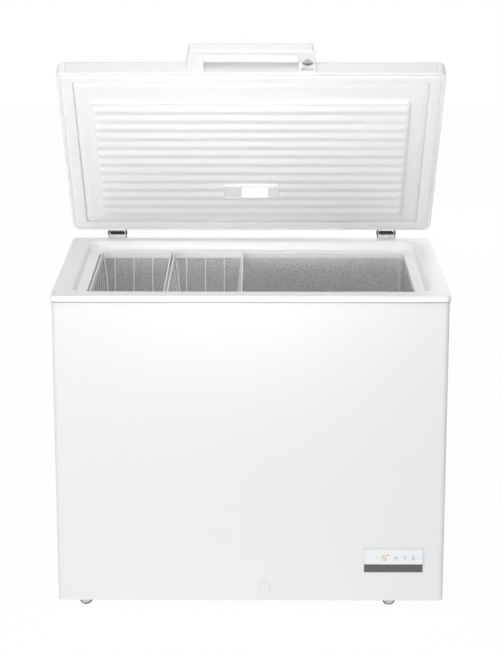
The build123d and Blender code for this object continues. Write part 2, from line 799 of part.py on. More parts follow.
with BuildPart() as drain_cap:
    rod(drain_cap_r, (drain_x, casing_front - side_gap, drain_z), (0, -1, 0), panel_proud)
    fillet(drain_cap.edges().group_by(Axis.Y)[0], panel_proud / 2)
    rod(drain_bore_r - running_gap, (drain_x, casing_front - side_gap, drain_z), (0, 1, 0), cap_plug)
save("drain_cap", drain_cap.part)

with BuildPart() as drain_plug:
    rod(drain_r + 2 * moulding, (drain_x, sump_y, tank_floor + side_gap), (0, 0, 1), plug_h)
    fillet(drain_plug.edges().group_by(Axis.Z)[-1], plug_h / 4)
    rod(drain_bore_r - running_gap, (drain_x, sump_y, tank_floor + side_gap), (0, 0, -1), cap_plug)
save("drain_plug", drain_plug.part)

# ======== Castors ========
castors = {
    "front_left": (castor_left_x, castor_ys[0]),
    "front_right": (castor_right_x, castor_ys[0]),
    "back_left": (castor_left_x, castor_ys[1]),
    "back_right": (castor_right_x, castor_ys[1]),
}
axle_z = wheel_r
flange_low = base_z - tray_sheet
ear_r = wheel_r - ear_inset
with BuildPart() as castor_cups:
    for x, y in castors.values():
        block(
            (x - cup_w / 2, x + cup_w / 2),
            (y - cup_d / 2, y + cup_d / 2),
            (axle_z, cup_top),
        )
        block(
            (x - cup_w / 2 - flange, x + cup_w / 2 + flange),
            (y - cup_d / 2 - flange_side, y + cup_d / 2 + flange_side),
            (flange_low, base_z),
        )
        rod(ear_r, (x, y - cup_d / 2, axle_z), (0, 1, 0), cup_d)
        block(
            (x - cup_w / 2 + cup_wall, x + cup_w / 2 - cup_wall),
            (y - cup_d / 2 + cup_wall, y + cup_d / 2 - cup_wall),
            (0, cup_top - cup_wall),
            Mode.SUBTRACT,
        )
        rod(axle_r + running_gap, (x, y - cup_d, axle_z), (0, 1, 0), 2 * cup_d, Mode.SUBTRACT)
save("castor_cups", castor_cups.part)

with BuildPart() as castor_axles:
    for x, y in castors.values():
        rod(axle_r, (x, y - cup_d / 2 - tray_sheet, axle_z), (0, 1, 0), cup_d + 2 * tray_sheet)
        for end in (y - cup_d / 2 - tray_sheet, y + cup_d / 2):
            rod(axle_head_r, (x, end, axle_z), (0, 1, 0), tray_sheet)
save("castor_axles", castor_axles.part)

for corner, (x, y) in castors.items():
    with BuildPart() as wheel:
        with BuildSketch(Plane((x, y + wheel_w / 2, axle_z), (1, 0, 0), (0, -1, 0))):
            Circle(wheel_r)
            Circle(axle_r + running_gap, mode=Mode.SUBTRACT)
        extrude(amount=wheel_w)
        rims = wheel.edges().filter_by(GeomType.CIRCLE).filter_by(lambda e: e.radius > wheel_r / 2)
        fillet(rims, wheel_r / 8)
    save(f"castor_wheel_{corner}", wheel.part)

# ======== Hinges ========
hinge_xs = (-hinge_x, hinge_x)
leaf_back = back_face + tray_sheet  # outer face of the cabinet leaf
leaf_top = top_z - collar_band - side_gap
leaf_low = leaf_top - hinge_drop
arm_w = hinge_w - 2 * (tray_sheet + side_gap)
leaf_screws = [
    (x + dx, z)
    for x in hinge_xs
    for dx in (-hinge_w / 4, hinge_w / 4)
    for z in (leaf_low + hinge_w / 4, leaf_top - hinge_w / 2)
]


def hinge_pair(left, thickness, profile):
    """Extrude a side profile as cheeks, from the given distances left of each hinge's middle."""
    for x in hinge_xs:
        for start in (x - left, x + left - thickness):
            extrude(Plane.YZ.offset(start) * profile, amount=thickness, dir=(1, 0, 0))


with BuildSketch() as cheek:
    with BuildLine():
        Polyline(
            (leaf_back, leaf_low),
            (leaf_back, leaf_top),
            (hinge_y - knuckle_r, leaf_top),
            (hinge_y - knuckle_r, hinge_z),
            (hinge_y + knuckle_r, hinge_z),
            (hinge_y + knuckle_r, leaf_top - 2 * knuckle_r),
            (leaf_back + knuckle_r, leaf_low),
            close=True,
        )
    make_face()
    with Locations((hinge_y, hinge_z)):
        Circle(knuckle_r)
        Circle(pin_r + running_gap, mode=Mode.SUBTRACT)
with BuildPart() as hinge_leaves:
    for x in hinge_xs:
        block((x - hinge_w / 2, x + hinge_w / 2), (back_face, leaf_back), (leaf_low, leaf_top))
    hinge_pair(hinge_w / 2, tray_sheet, cheek.sketch)
    for x, z in leaf_screws:
        screw_hole((x, back_face, z), (0, 1, 0))
save("hinge_leaves", hinge_leaves.part)

with BuildPart() as hinge_leaf_screws:
    for x, z in leaf_screws:
        rod(screw_r, (x, back_face, z), (0, 1, 0), tray_sheet)
        rod(2 * screw_r, (x, leaf_back, z), (0, 1, 0), screw_r)
save("hinge_leaf_screws", hinge_leaf_screws.part)

with BuildPart() as hinge_pins:
    for x in hinge_xs:
        left = x - hinge_w / 2
        rod(pin_r, (left, hinge_y, hinge_z), (1, 0, 0), hinge_w)
        rod(pin_head_r, (left - pin_head, hinge_y, hinge_z), (1, 0, 0), pin_head)
        rod(pin_head_r, (left + hinge_w, hinge_y, hinge_z), (1, 0, 0), pin_head)
save("hinge_pins", hinge_pins.part)

spring_r = pin_r + spring_wire_r + 2 * side_gap
spring_l = arm_w - 2 * tray_sheet - 4 * spring_wire_r
coils = []
for x in hinge_xs:
    with BuildPart() as spring:
        with BuildLine() as turns:
            start = (x - spring_l / 2, hinge_y, hinge_z)
            Helix(spring_pitch, spring_l, spring_r, center=start, direction=(1, 0, 0))
        with BuildSketch(Plane(origin=turns.line @ 0, z_dir=turns.line % 0)):
            Circle(spring_wire_r)
        sweep(is_frenet=True)
    coils.append(spring.part)
with BuildPart() as hinge_springs:
    add(coils)
save("hinge_springs", hinge_springs.part)

# The lid's arms are screwed to the back of its skirt and turn on the pins.
arm_face = back_y + tray_sheet
arm_low = rim_z + tray_sheet
arm_high = lid_top - lid_edge_r - tray_sheet
arm_r = knuckle_r - arm_inset
arm_screws = [(x + dx, (arm_low + arm_high) / 2) for x in hinge_xs for dx in (-arm_w / 4, arm_w / 4)]
with BuildSketch() as arm_cheek:
    with BuildLine():
        Polyline(
            (arm_face, arm_low),
            (arm_face, arm_high),
            (arm_face + tray_sheet, arm_high),
            (hinge_y + arm_r, hinge_z),
            (hinge_y - arm_r, hinge_z),
            (hinge_y - arm_r, arm_low),
            close=True,
        )
    make_face()
    with Locations((hinge_y, hinge_z)):
        Circle(arm_r)
        Circle(pin_r + running_gap, mode=Mode.SUBTRACT)
with BuildPart() as hinge_arms:
    for x in hinge_xs:
        block((x - arm_w / 2, x + arm_w / 2), (back_y, arm_face), (arm_low, arm_high))
    hinge_pair(arm_w / 2, tray_sheet, arm_cheek.sketch)
    for x, z in arm_screws:
        screw_hole((x, back_y, z), (0, 1, 0))
save_lid("hinge_arms", hinge_arms.part)

with BuildPart() as hinge_arm_screws:
    for x, z in arm_screws:
        rod(screw_r, (x, back_y, z), (0, 1, 0), tray_sheet)
        rod(2 * screw_r, (x, arm_face, z), (0, 1, 0), screw_r)
save_lid("hinge_arm_screws", hinge_arm_screws.part)

# ======== Lid shell ========
def lid_pan(grow):
    """Return the lid's outer shape as a solid, moved outward by a distance."""
    with BuildPart() as pan:
        with BuildSketch(Plane.XY.offset(rim_z)):
            outline(-grow, lid_r + grow)
        extrude(amount=skirt + grow)
        fillet(pan.edges().group_by(Axis.Z)[-1], lid_edge_r + grow)
        with BuildSketch(Plane.XY.offset(lid_top + grow)):
            outline(crown_inset - grow, lid_r)
        with BuildSketch(Plane.XY.offset(lid_top + crown + grow)):
            outline(crown_inset + 2 * crown - grow, lid_r)
        loft()
    return pan.part


def lid_corners(size, mode):
    """Cut or keep the square at each corner of the lid."""
    corner_y = depth / 2 - size / 2
    corner_x = width / 2 - size / 2
    with Locations((0, mid_y, rim_z)):
        with GridLocations(2 * corner_x, 2 * corner_y, 2, 2):
            Box(size, size, 4 * skirt, mode=mode)


with BuildPart() as lid_skin:
    add(lid_pan(0))
    add(lid_pan(-sheet), mode=Mode.SUBTRACT)
    lid_corners(cap_size + side_gap, Mode.SUBTRACT)
    for x in handle_screw_xs:
        screw_hole((x, front_y - sheet, handle_screw_z), (0, 1, 0))
save_lid("lid_skin", lid_skin.part)

with BuildPart() as lid_corner_caps:
    add(lid_pan(0))
    add(lid_pan(-moulding), mode=Mode.SUBTRACT)
    lid_corners(cap_size, Mode.INTERSECT)
save_lid("lid_corner_caps", lid_corner_caps.part)

# The inner frame closes the rim and holds the gasket in a groove.
frame_out = moulding + side_gap
groove_mid = gasket_inset + gasket_w / 2
groove_d = frame_h - moulding
with BuildPart() as lid_frame:
    with BuildSketch(Plane.XY.offset(rim_z)):
        outline(frame_out, lid_r)
        outline(frame_w, lid_r, Mode.SUBTRACT)
    extrude(amount=frame_h)
    with BuildSketch(Plane.XY.offset(rim_z)):
        outline(groove_mid - groove_w / 2, lid_r)
        outline(groove_mid + groove_w / 2, lid_r, Mode.SUBTRACT)
    extrude(amount=groove_d, mode=Mode.SUBTRACT)
save_lid("lid_frame", lid_frame.part)

with BuildPart() as lid_gasket:
    with BuildSketch(Plane.XY.offset(top_z + side_gap)):
        outline(gasket_inset, lid_r)
        outline(gasket_inset + gasket_w, lid_r, Mode.SUBTRACT)
    extrude(amount=lid_gap - 2 * side_gap)
    fillet(lid_gasket.edges().group_by(Axis.Z)[0], lid_gap / 4)
    with BuildSketch(Plane.XY.offset(rim_z - side_gap)):
        outline(groove_mid - groove_w / 2 + side_gap, lid_r)
        outline(groove_mid + groove_w / 2 - side_gap, lid_r, Mode.SUBTRACT)
    extrude(amount=groove_d)
save_lid("lid_gasket", lid_gasket.part)

# ======== Lid liner, foam and lamp ========
liner_edge = frame_w + side_gap
liner_flat = rim_z - liner_step
field_z = liner_flat - field_step
liner_top = rim_z + 2 * frame_h
lamp_y = back_y - lamp_from_hinge
lamp_box_d = lamp_d - 2 * lamp_lip
lamp_box_w = lamp_w - 2 * lamp_lip
lamp_hole_w = lamp_box_w + 2 * side_gap
lamp_hole_d = lamp_box_d + 2 * side_gap


def liner_form(inset, lift):
    """Return the liner's stepped form as a solid, drawn in and lifted by the wall's thickness."""
    steps = (
        (liner_edge, rim_z, liner_edge + liner_slope, liner_flat),
        (field_inset, liner_flat, field_inset + field_draft, field_z),
    )
    with BuildPart() as form:
        with BuildSketch(Plane.XY.offset(rim_z + lift)):
            outline(liner_edge + inset, lid_r)
        extrude(amount=liner_top - rim_z)
        for inset_high, z_high, inset_low, z_low in steps:
            with BuildSketch(Plane.XY.offset(z_high + lift)):
                outline(inset_high + inset, lid_r)
            with BuildSketch(Plane.XY.offset(z_low + lift)):
                outline(inset_low + inset, lid_r)
            loft()
    return form.part


with BuildPart() as lid_liner:
    add(liner_form(0, 0))
    add(liner_form(liner_wall, liner_wall), mode=Mode.SUBTRACT)
    rib_l = width - 2 * (field_inset + field_draft + rib_h)
    with BuildSketch(Plane.YZ.offset(-rib_l / 2)) as ribs:
        with Locations((mid_y, field_z)):
            with GridLocations(rib_pitch, 0, rib_count, 1):
                Trapezoid(rib_w, 2 * rib_h, rib_slope, rotation=180)
        with Locations((mid_y, field_z + rib_h)):
            Rectangle(depth, 2 * rib_h, mode=Mode.SUBTRACT)
    extrude(amount=rib_l)
    block(
        (-lamp_hole_w / 2, lamp_hole_w / 2),
        (lamp_y - lamp_hole_d / 2, lamp_y + lamp_hole_d / 2),
        (field_z - 2 * rib_h, liner_flat),
        Mode.SUBTRACT,
    )
save_lid("lid_liner", lid_liner.part)

lamp_low = field_z - rib_h - lamp_proud
lamp_high = liner_flat + 2 * frame_h
lens_d = lamp_d - 4 * lamp_lip
with BuildPart() as lid_foam:
    with BuildSketch(Plane.XY.offset(liner_top + side_gap)):
        outline(frame_out, lid_r)
    extrude(amount=lid_top - moulding - liner_top - 2 * side_gap)
    fillet(lid_foam.edges().group_by(Axis.Z)[-1], lid_edge_r)
    add(liner_form(liner_wall + side_gap, liner_wall + side_gap))
    with Locations((0, lamp_y, (field_z + lamp_high) / 2)):
        Box(lamp_hole_w, lamp_hole_d, lamp_high - field_z + 2 * side_gap, mode=Mode.SUBTRACT)
    for x in handle_screw_xs:
        head_room = frame_out + screw_r + side_gap
        rod(2 * screw_r + side_gap, (x, front_y, handle_screw_z), (0, 1, 0), head_room, Mode.SUBTRACT)
save_lid("lid_foam", lid_foam.part)

with BuildPart() as lamp_housing:
    with BuildSketch(Plane.XY.offset(lamp_low)):
        with Locations((0, lamp_y)):
            RectangleRounded(lamp_w, lamp_d, lamp_lip)
    extrude(amount=lamp_proud)
    fillet(lamp_housing.edges().group_by(Axis.Z)[0], lamp_proud / 3)
    block(
        (-lamp_box_w / 2, lamp_box_w / 2),
        (lamp_y - lamp_box_d / 2, lamp_y + lamp_box_d / 2),
        (lamp_low + lamp_proud, lamp_high),
    )
    block(
        (-lamp_lens_w / 2, lamp_lens_w / 2),
        (lamp_y - lens_d / 2, lamp_y + lens_d / 2),
        (lamp_low - lamp_proud, lamp_low + lamp_proud),
        Mode.SUBTRACT,
    )
    block(
        (-lamp_box_w / 2 + moulding, lamp_box_w / 2 - moulding),
        (lamp_y - lamp_box_d / 2 + moulding, lamp_y + lamp_box_d / 2 - moulding),
        (lamp_low + lamp_proud, lamp_high - moulding),
        Mode.SUBTRACT,
    )
save_lid("lamp_housing", lamp_housing.part)

with BuildPart() as lamp_lens:
    with Locations((0, lamp_y, lamp_low + lamp_proud / 2)):
        Box(lamp_lens_w - 2 * side_gap, lens_d - 2 * side_gap, lamp_proud)
    fillet(lamp_lens.edges().group_by(Axis.Z)[0], lamp_proud / 3)
save_lid("lamp_lens", lamp_lens.part)

lamp_board_w = lamp_box_w - 2 * moulding - 2 * side_gap
lamp_board_d = lamp_box_d - 2 * moulding - 2 * side_gap
with BuildPart() as lamp_board:
    with Locations((0, lamp_y, lamp_high - moulding - side_gap - board_t / 2)):
        Box(lamp_board_w, lamp_board_d, board_t)
    led_z = lamp_high - moulding - side_gap - 1.5 * board_t
    with Locations((0, lamp_y, led_z)):
        with GridLocations(lamp_lens_w / lamp_leds, 0, lamp_leds, 1):
            Box(2 * board_t, 2 * board_t, board_t)
save_lid("lamp_board", lamp_board.part)

# ======== Handle and lock ========
bar_front = front_y - handle_reach
bar_back = bar_front + bar_t
lock_y = front_y - lock_behind_front
seat_z = rim_z + leg_low + seat_depth
with BuildPart() as lid_handle:
    with BuildSketch(Plane.XY.offset(rim_z)):
        with BuildLine():
            Polyline(
                (-handle_w / 2, front_y),
                (-handle_w / 2 + leg_taper, bar_back),
                (-handle_front_w / 2, bar_front),
                (handle_front_w / 2, bar_front),
                (handle_w / 2 - leg_taper, bar_back),
                (handle_w / 2, front_y),
                close=True,
            )
        make_face()
    extrude(amount=lid_top - rim_z + skirt)
    fillet(lid_handle.edges().filter_by(Axis.Z).group_by(Axis.Y)[0], bar_t / 2)
    with BuildSketch(Plane.YZ.offset(-handle_w / 2)) as side_view:
        with BuildLine():
            Polyline(
                (front_y, rim_z + leg_low),
                (bar_back, rim_z + bar_low),
                (bar_front, rim_z + bar_low),
                (bar_front, rim_z + bar_high),
                (bar_back, rim_z + bar_high),
                (front_y, rim_z + leg_high),
                close=True,
            )
        make_face()
        fillet(side_view.vertices().group_by(Axis.X)[0], bar_t / 3)
    extrude(amount=handle_w, mode=Mode.INTERSECT)
    with BuildSketch(Plane.XY.offset(rim_z)) as opening:
        with Locations((0, (bar_back + front_y) / 2 + bar_t)):
            Rectangle(handle_opening_w, front_y - bar_back + 2 * bar_t)
        fillet(opening.vertices().group_by(Axis.Y)[0], bar_t)
    extrude(amount=2 * skirt, mode=Mode.SUBTRACT)
    rod(lock_r + running_gap, (leg_x, lock_y, rim_z), (0, 0, 1), 2 * skirt, Mode.SUBTRACT)
    rod(lock_r + 2 * slide_gap, (leg_x, lock_y, rim_z), (0, 0, 1), seat_z - rim_z, Mode.SUBTRACT)
    block(
        (leg_x - pocket_w / 2, leg_x + pocket_w / 2),
        (front_y - pocket_far, front_y - pocket_near),
        (rim_z, seat_z + pocket_depth),
        Mode.SUBTRACT,
    )
    rod(screw_r, (-leg_x, lock_y, rim_z), (0, 0, 1), skirt / 2, Mode.SUBTRACT)
    for x in handle_screw_xs:
        rod(screw_r + running_gap, (x, front_y, handle_screw_z), (0, -1, 0), screw_l, Mode.SUBTRACT)
save_lid("lid_handle", lid_handle.part)

with BuildPart() as handle_screws:
    for x in handle_screw_xs:
        rod(screw_r, (x, front_y + sheet, handle_screw_z), (0, -1, 0), screw_l - side_gap)
        rod(2 * screw_r, (x, front_y + sheet, handle_screw_z), (0, 1, 0), screw_r)
save_lid("handle_screws", handle_screws.part)

lock_top = rim_z + leg_high + (bar_high - leg_high) * lock_behind_front / (handle_reach - bar_t)
with BuildPart() as lock_barrel:
    rod(lock_r, (leg_x, lock_y, seat_z - slide_gap), (0, 0, 1), lock_top - seat_z + slide_gap)
    rod(lock_r + slide_gap, (leg_x, lock_y, seat_z - side_gap), (0, 0, -1), tray_sheet)
    with Locations((leg_x, lock_y, lock_top)):
        Box(key_w, key_l, 2 * key_depth, mode=Mode.SUBTRACT)
save_lid("lock_barrel", lock_barrel.part)

cam_z = seat_z - side_gap - tray_sheet
with BuildPart() as lock_cam:
    with BuildSketch(Plane.XY.offset(cam_z)):
        with Locations((leg_x, lock_y)):
            SlotOverall(cam_l, cam_w)
    extrude(amount=-tray_sheet)
save_lid("lock_cam", lock_cam.part)

# ======== Baskets ========
basket_left_x = basket_aside + basket_w / 2 - opening_w / 2
basket_top = ledge_z + side_gap
basket_d = opening_d - 2 * basket_gap
basket_lean = math.tan(math.radians(basket_taper))


def basket_form(inset, deep):
    """Return a basket's tapering body as a solid, from its rim down to a depth."""
    with BuildPart() as form:
        for level in (0, deep):
            shrink = 2 * (inset + level * basket_lean)
            with BuildSketch(Plane.XY.offset(basket_top + moulding - level)):
                with Locations((0, mouth_y)):
                    RectangleRounded(basket_w - shrink, basket_d - shrink, basket_corner_r)
        loft()
    return form.part


def basket_flat(across, level):
    """Return how far from the middle a wall's inner face stays flat, at a depth below the rim."""
    return across / 2 - level * basket_lean - basket_wall - basket_corner_r - side_gap


def basket(x):
    """Return one hanging basket with ribbed walls and floor."""
    window_h = basket_h - basket_band - 2 * basket_rib
    window_top = basket_top + moulding - basket_band
    window_z = window_top - window_h / 2
    window_foot = basket_band + window_h
    corner_in = basket_end_pitch + basket_rib / 2  # corner windows narrow to a point
    corner_out = basket_flat(basket_w, basket_band)
    end_window = basket_end_pitch - basket_rib
    side_window = basket_side_pitch - basket_rib
    side_count = 1 + int((2 * basket_flat(basket_d, window_foot) - side_window) / basket_side_pitch)
    floor_count = 1 + int((2 * basket_flat(basket_w, basket_h) - side_window) / basket_side_pitch)
    with BuildPart() as body:
        add(basket_form(0, basket_h))
        add(basket_form(basket_wall, basket_h - basket_wall), mode=Mode.SUBTRACT)
        with BuildSketch(Plane.XZ.offset(-mouth_y)):
            with Locations((0, window_z)):
                with GridLocations(basket_end_pitch, 0, 2, 1):
                    RectangleRounded(end_window, window_h, basket_rib / 2)
            for side in (-1, 1):
                with BuildLine():
                    Polyline(
                        (side * corner_in, window_top),
                        (side * corner_out, window_top),
                        (side * corner_in, window_top - (corner_out - corner_in) / basket_lean),
                        close=True,
                    )
                make_face()
        extrude(amount=depth, both=True, mode=Mode.SUBTRACT)
        with BuildSketch(Plane.YZ):
            with Locations((mouth_y, window_z)):
                with GridLocations(basket_side_pitch, 0, side_count, 1):
                    RectangleRounded(side_window, window_h, basket_rib / 2)
        extrude(amount=width, both=True, mode=Mode.SUBTRACT)
        with BuildSketch(Plane.XY.offset(basket_top + moulding - basket_h)):
            with Locations((0, mouth_y)):
                with GridLocations(basket_side_pitch, basket_side_pitch, floor_count, side_count - 2):
                    RectangleRounded(side_window, side_window, basket_rib / 2)
        extrude(amount=2 * basket_wall, both=True, mode=Mode.SUBTRACT)
        with BuildSketch(Plane.XY.offset(basket_top)):
            with Locations((0, mouth_y)):
                RectangleRounded(basket_w, basket_d + 2 * basket_rim, basket_corner_r)
                Rectangle(basket_w - 2 * basket_wall, basket_d - 2 * basket_wall, mode=Mode.SUBTRACT)
        extrude(amount=moulding)
    return Pos(x, 0, 0) * body.part


save("basket_left", basket(basket_left_x))
save("basket_right", basket(basket_left_x + basket_pitch))
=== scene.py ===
"""Chest freezer with its lid up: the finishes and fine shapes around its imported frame.

Lengths are in metres. Lid pieces are shaped with the lid shut, where the frame's own lid nodes
would lie, and swing_up() opens them to the angle at which the frame stores the lid.
"""
import json
import math

import bmesh
import bpy
import numpy as np
from mathutils import Matrix, Vector


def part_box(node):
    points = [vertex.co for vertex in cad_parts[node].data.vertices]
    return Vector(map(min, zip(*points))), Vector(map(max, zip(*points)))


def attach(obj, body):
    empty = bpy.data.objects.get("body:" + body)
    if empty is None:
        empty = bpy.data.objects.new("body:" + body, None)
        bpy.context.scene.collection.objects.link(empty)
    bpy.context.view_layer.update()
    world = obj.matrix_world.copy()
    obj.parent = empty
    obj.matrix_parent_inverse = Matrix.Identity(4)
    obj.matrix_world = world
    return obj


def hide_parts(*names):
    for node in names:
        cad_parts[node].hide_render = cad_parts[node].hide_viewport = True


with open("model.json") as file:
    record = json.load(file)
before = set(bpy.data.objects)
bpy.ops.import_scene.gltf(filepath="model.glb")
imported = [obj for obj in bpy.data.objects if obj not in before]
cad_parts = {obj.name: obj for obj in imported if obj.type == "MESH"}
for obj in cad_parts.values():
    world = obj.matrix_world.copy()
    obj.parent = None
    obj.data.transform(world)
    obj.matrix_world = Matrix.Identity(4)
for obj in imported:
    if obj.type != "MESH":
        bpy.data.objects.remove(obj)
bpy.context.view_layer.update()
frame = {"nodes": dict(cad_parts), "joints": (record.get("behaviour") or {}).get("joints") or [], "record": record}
nodes = frame["nodes"]
joints = {joint["name"]: joint for joint in frame["joints"]}
mm = 0.001


# ======== Shader maths ========
class Value:
    """A number socket in a node tree, with Python's own arithmetic."""

    def __init__(self, nodes, socket):
        self.nodes = nodes
        self.socket = socket

    def math(self, operation, other):
        return self.nodes.add("ShaderNodeMath", {"operation": operation}, [self, other])

    def __add__(self, other):
        return self.math("ADD", other)

    def __sub__(self, other):
        return self.math("SUBTRACT", other)

    def __rsub__(self, other):
        return self.nodes.add("ShaderNodeMath", {"operation": "SUBTRACT"}, [other, self])

    def __mul__(self, other):
        return self.math("MULTIPLY", other)

    __radd__ = __add__
    __rmul__ = __mul__

    def between(self, low, high):
        """Return 0 below low and 1 above high, with a smooth rise between them."""
        return self.nodes.add(
            "ShaderNodeMapRange",
            {"interpolation_type": "SMOOTHSTEP"},
            {"Value": self, "From Min": low, "From Max": high},
        )


class Nodes:
    """The node tree of a material or a sky, emptied to be built up again."""

    def __init__(self, owner):
        owner.use_nodes = True
        self.tree = owner.node_tree
        self.tree.nodes.clear()

    def add(self, kind, settings=None, inputs=None, output=0):
        """Add a node with its settings and the values or links of its sockets."""
        node = self.tree.nodes.new(kind)
        for name, value in (settings or {}).items():
            setattr(node, name, value)
        pairs = inputs.items() if isinstance(inputs, dict) else enumerate(inputs or [])
        for key, value in pairs:
            if isinstance(value, Value):
                self.tree.links.new(value.socket, node.inputs[key])
            else:
                node.inputs[key].default_value = value
        return Value(self, node.outputs[output]) if node.outputs else None


class Finish(Nodes):
    """One material: the few nodes that finishes share, and its surface."""

    MIX_FACTOR, MIX_FIRST, MIX_SECOND, MIX_RESULT = 0, 6, 7, 2  # sockets of a mix of colours

    def __init__(self, name):
        self.material = bpy.data.materials.new(name)
        super().__init__(self.material)
        self.place = self.add("ShaderNodeTexCoord", output="Object")

    def stretched(self, scale):
        """Return the place on the object, scaled along each axis."""
        return self.add("ShaderNodeMapping", inputs={"Vector": self.place, "Scale": scale})

    def noise(self, scale, detail=2.0, place=None):
        """Return a soft noise from 0 to 1 with a number of bumps a metre."""
        return self.add(
            "ShaderNodeTexNoise",
            inputs={"Vector": place or self.place, "Scale": scale, "Detail": detail},
        )

    def cells(self, scale, feature="F1", output="Distance", place=None):
        """Return the distances or colours of a cell pattern."""
        return self.add(
            "ShaderNodeTexVoronoi",
            {"feature": feature},
            {"Vector": place or self.place, "Scale": scale},
            output,
        )

    def mix(self, factor, first, second):
        """Return a colour between two others."""
        inputs = {
            self.MIX_FACTOR: factor,
            self.MIX_FIRST: self.colour(first),
            self.MIX_SECOND: self.colour(second),
        }
        return self.add("ShaderNodeMix", {"data_type": "RGBA"}, inputs, self.MIX_RESULT)

    def colour(self, value):
        """Return a colour as a socket takes it."""
        return value if isinstance(value, Value) else (*value, 1.0)

    def bump(self, height, depth):
        """Return normals for a height from 0 to 1 that stands for a depth in metres."""
        return self.add(
            "ShaderNodeBump", inputs={"Strength": 1.0, "Distance": depth, "Height": height}
        )

    def surface(self, colour, roughness, metallic=0.0, **others):
        """Close the material with one surface shader and return the material."""
        inputs = {"Base Color": self.colour(colour), "Roughness": roughness, "Metallic": metallic}
        inputs.update({name.replace("_", " ").title(): value for name, value in others.items()})
        shader = self.add("ShaderNodeBsdfPrincipled", inputs=inputs)
        self.add("ShaderNodeOutputMaterial", inputs={"Surface": shader})
        return self.material


# ======== Finishes ========
WHITE = (0.80, 0.805, 0.81)
SHADED_WHITE = (0.79, 0.795, 0.80)
MOULDED_WHITE = (0.905, 0.91, 0.915)
BASKET_WHITE = (0.95, 0.955, 0.96)
STEEL = (0.52, 0.53, 0.54)
GRAIN = 0.03 * mm  # depth of a moulding's grain
FINE_GRAIN = 0.01 * mm


def enamelled_steel():
    """Baked white enamel, with the faint orange peel of a sprayed coat."""
    coat = Finish("white_enamel")
    peel = coat.noise(420.0)
    waviness = coat.noise(3.0, detail=1.0)
    colour = coat.mix(waviness * 0.25, WHITE, SHADED_WHITE)
    normal = coat.bump(peel * 0.6 + waviness * 0.4, 0.06 * mm)
    return coat.surface(colour, 0.26 + 0.06 * peel, normal=normal, coat_weight=0.25)


def moulded_white(name, rough, grain=GRAIN, white=MOULDED_WHITE):
    """White moulded plastic with a fine satin grain."""
    coat = Finish(name)
    satin = coat.noise(1500.0)
    cloud = coat.noise(9.0)
    colour = coat.mix(cloud * 0.3, white, tuple(0.98 * part for part in white))
    return coat.surface(colour, rough + 0.08 * satin, normal=coat.bump(satin, grain))


def stucco_aluminium():
    """Embossed aluminium sheet: small raised pebbles with flat valleys between them."""
    coat = Finish("embossed_aluminium")
    wander = coat.noise(90.0, detail=3.0)
    shift = coat.add(
        "ShaderNodeVectorMath", {"operation": "MULTIPLY_ADD"},
        [coat.place, (1.0, 1.0, 1.0),
         coat.add("ShaderNodeCombineXYZ", inputs=[wander * (6 * mm)] * 3)],
    )
    pebbles = coat.cells(330.0, "SMOOTH_F1", place=shift).between(0.15, 0.75)
    fine = coat.noise(700.0)
    mottle = pebbles * 0.7 + fine * 0.3
    colour = coat.mix(mottle, (0.80, 0.80, 0.80), (0.58, 0.58, 0.585))
    return coat.surface(colour, 0.30 + 0.25 * fine, 0.75, normal=coat.bump(pebbles, 0.6 * mm))


def galvanised():
    """Zinc-coated sheet with its pale crystal spangle."""
    coat = Finish("galvanised_steel")
    spangle = coat.cells(70.0, output="Color")
    tone = coat.add("ShaderNodeSeparateColor", inputs=[spangle])
    mottle = tone * 0.8 + coat.noise(40.0) * 0.2
    colour = coat.mix(mottle, (0.44, 0.45, 0.46), (0.62, 0.63, 0.64))
    return coat.surface(colour, 0.38 + 0.16 * tone, 0.85)


def bare_metal(name, colour, rough):
    """Plated or drawn metal with fine streaks."""
    coat = Finish(name)
    streaks = coat.noise(60.0, detail=3.0, place=coat.stretched((1.0, 1.0, 40.0)))
    shaded = coat.mix(streaks, colour, tuple(0.8 * part for part in colour))
    normal = coat.bump(streaks, 0.02 * mm)
    return coat.surface(shaded, rough + 0.15 * streaks, 1.0, normal=normal)


def plain_plastic(name, colour, rough, grain=0.04 * mm):
    """Coloured moulded plastic with a fine grain."""
    coat = Finish(name)
    speck = coat.noise(1200.0)
    paler = tuple(min(1.0, 1.15 * part + 0.004) for part in colour)
    shaded = coat.mix(speck, colour, paler)
    return coat.surface(shaded, rough + 0.1 * speck, normal=coat.bump(speck, grain))


def rubber(name, colour):
    """Soft rubber with a dull bloom."""
    coat = Finish(name)
    bloom = coat.noise(55.0, detail=4.0)
    paler = tuple(min(1.0, 1.1 * part + 0.01) for part in colour)
    shaded = coat.mix(bloom, colour, paler)
    return coat.surface(shaded, 0.55 + 0.2 * bloom, normal=coat.bump(bloom, 0.05 * mm))


def blown_foam():
    """Cream insulating foam with open cells on its skin."""
    coat = Finish("foam")
    cells = coat.cells(260.0)
    colour = coat.mix(cells, (0.83, 0.74, 0.50), (0.62, 0.51, 0.29))
    return coat.surface(colour, 0.9, normal=coat.bump(cells, 0.6 * mm))


def circuit_board():
    """Green solder resist with paler tracks."""
    coat = Finish("circuit_board")
    tracks = coat.cells(420.0, "DISTANCE_TO_EDGE").between(0.02, 0.06)
    return coat.surface(coat.mix(tracks, (0.10, 0.32, 0.16), (0.02, 0.12, 0.05)), 0.35)


def lamp_diffuser():
    """Opal lens, softly lit from behind."""
    coat = Finish("lamp_diffuser")
    frost = coat.noise(900.0)
    return coat.surface(
        (0.93, 0.94, 0.95), 0.3 + 0.1 * frost,
        emission_color=(1.0, 1.0, 1.0, 1.0), emission_strength=0.35,
        normal=coat.bump(frost, GRAIN),
    )


def display_ink(name, colour, glow):
    """Printed or softly lit marks on the display window."""
    coat = Finish(name)
    paler = tuple(min(1.0, 1.2 * part) for part in colour)
    return coat.surface(
        coat.mix(coat.noise(900.0), colour, paler), 0.35,
        emission_color=(*colour, 1.0), emission_strength=glow,
    )


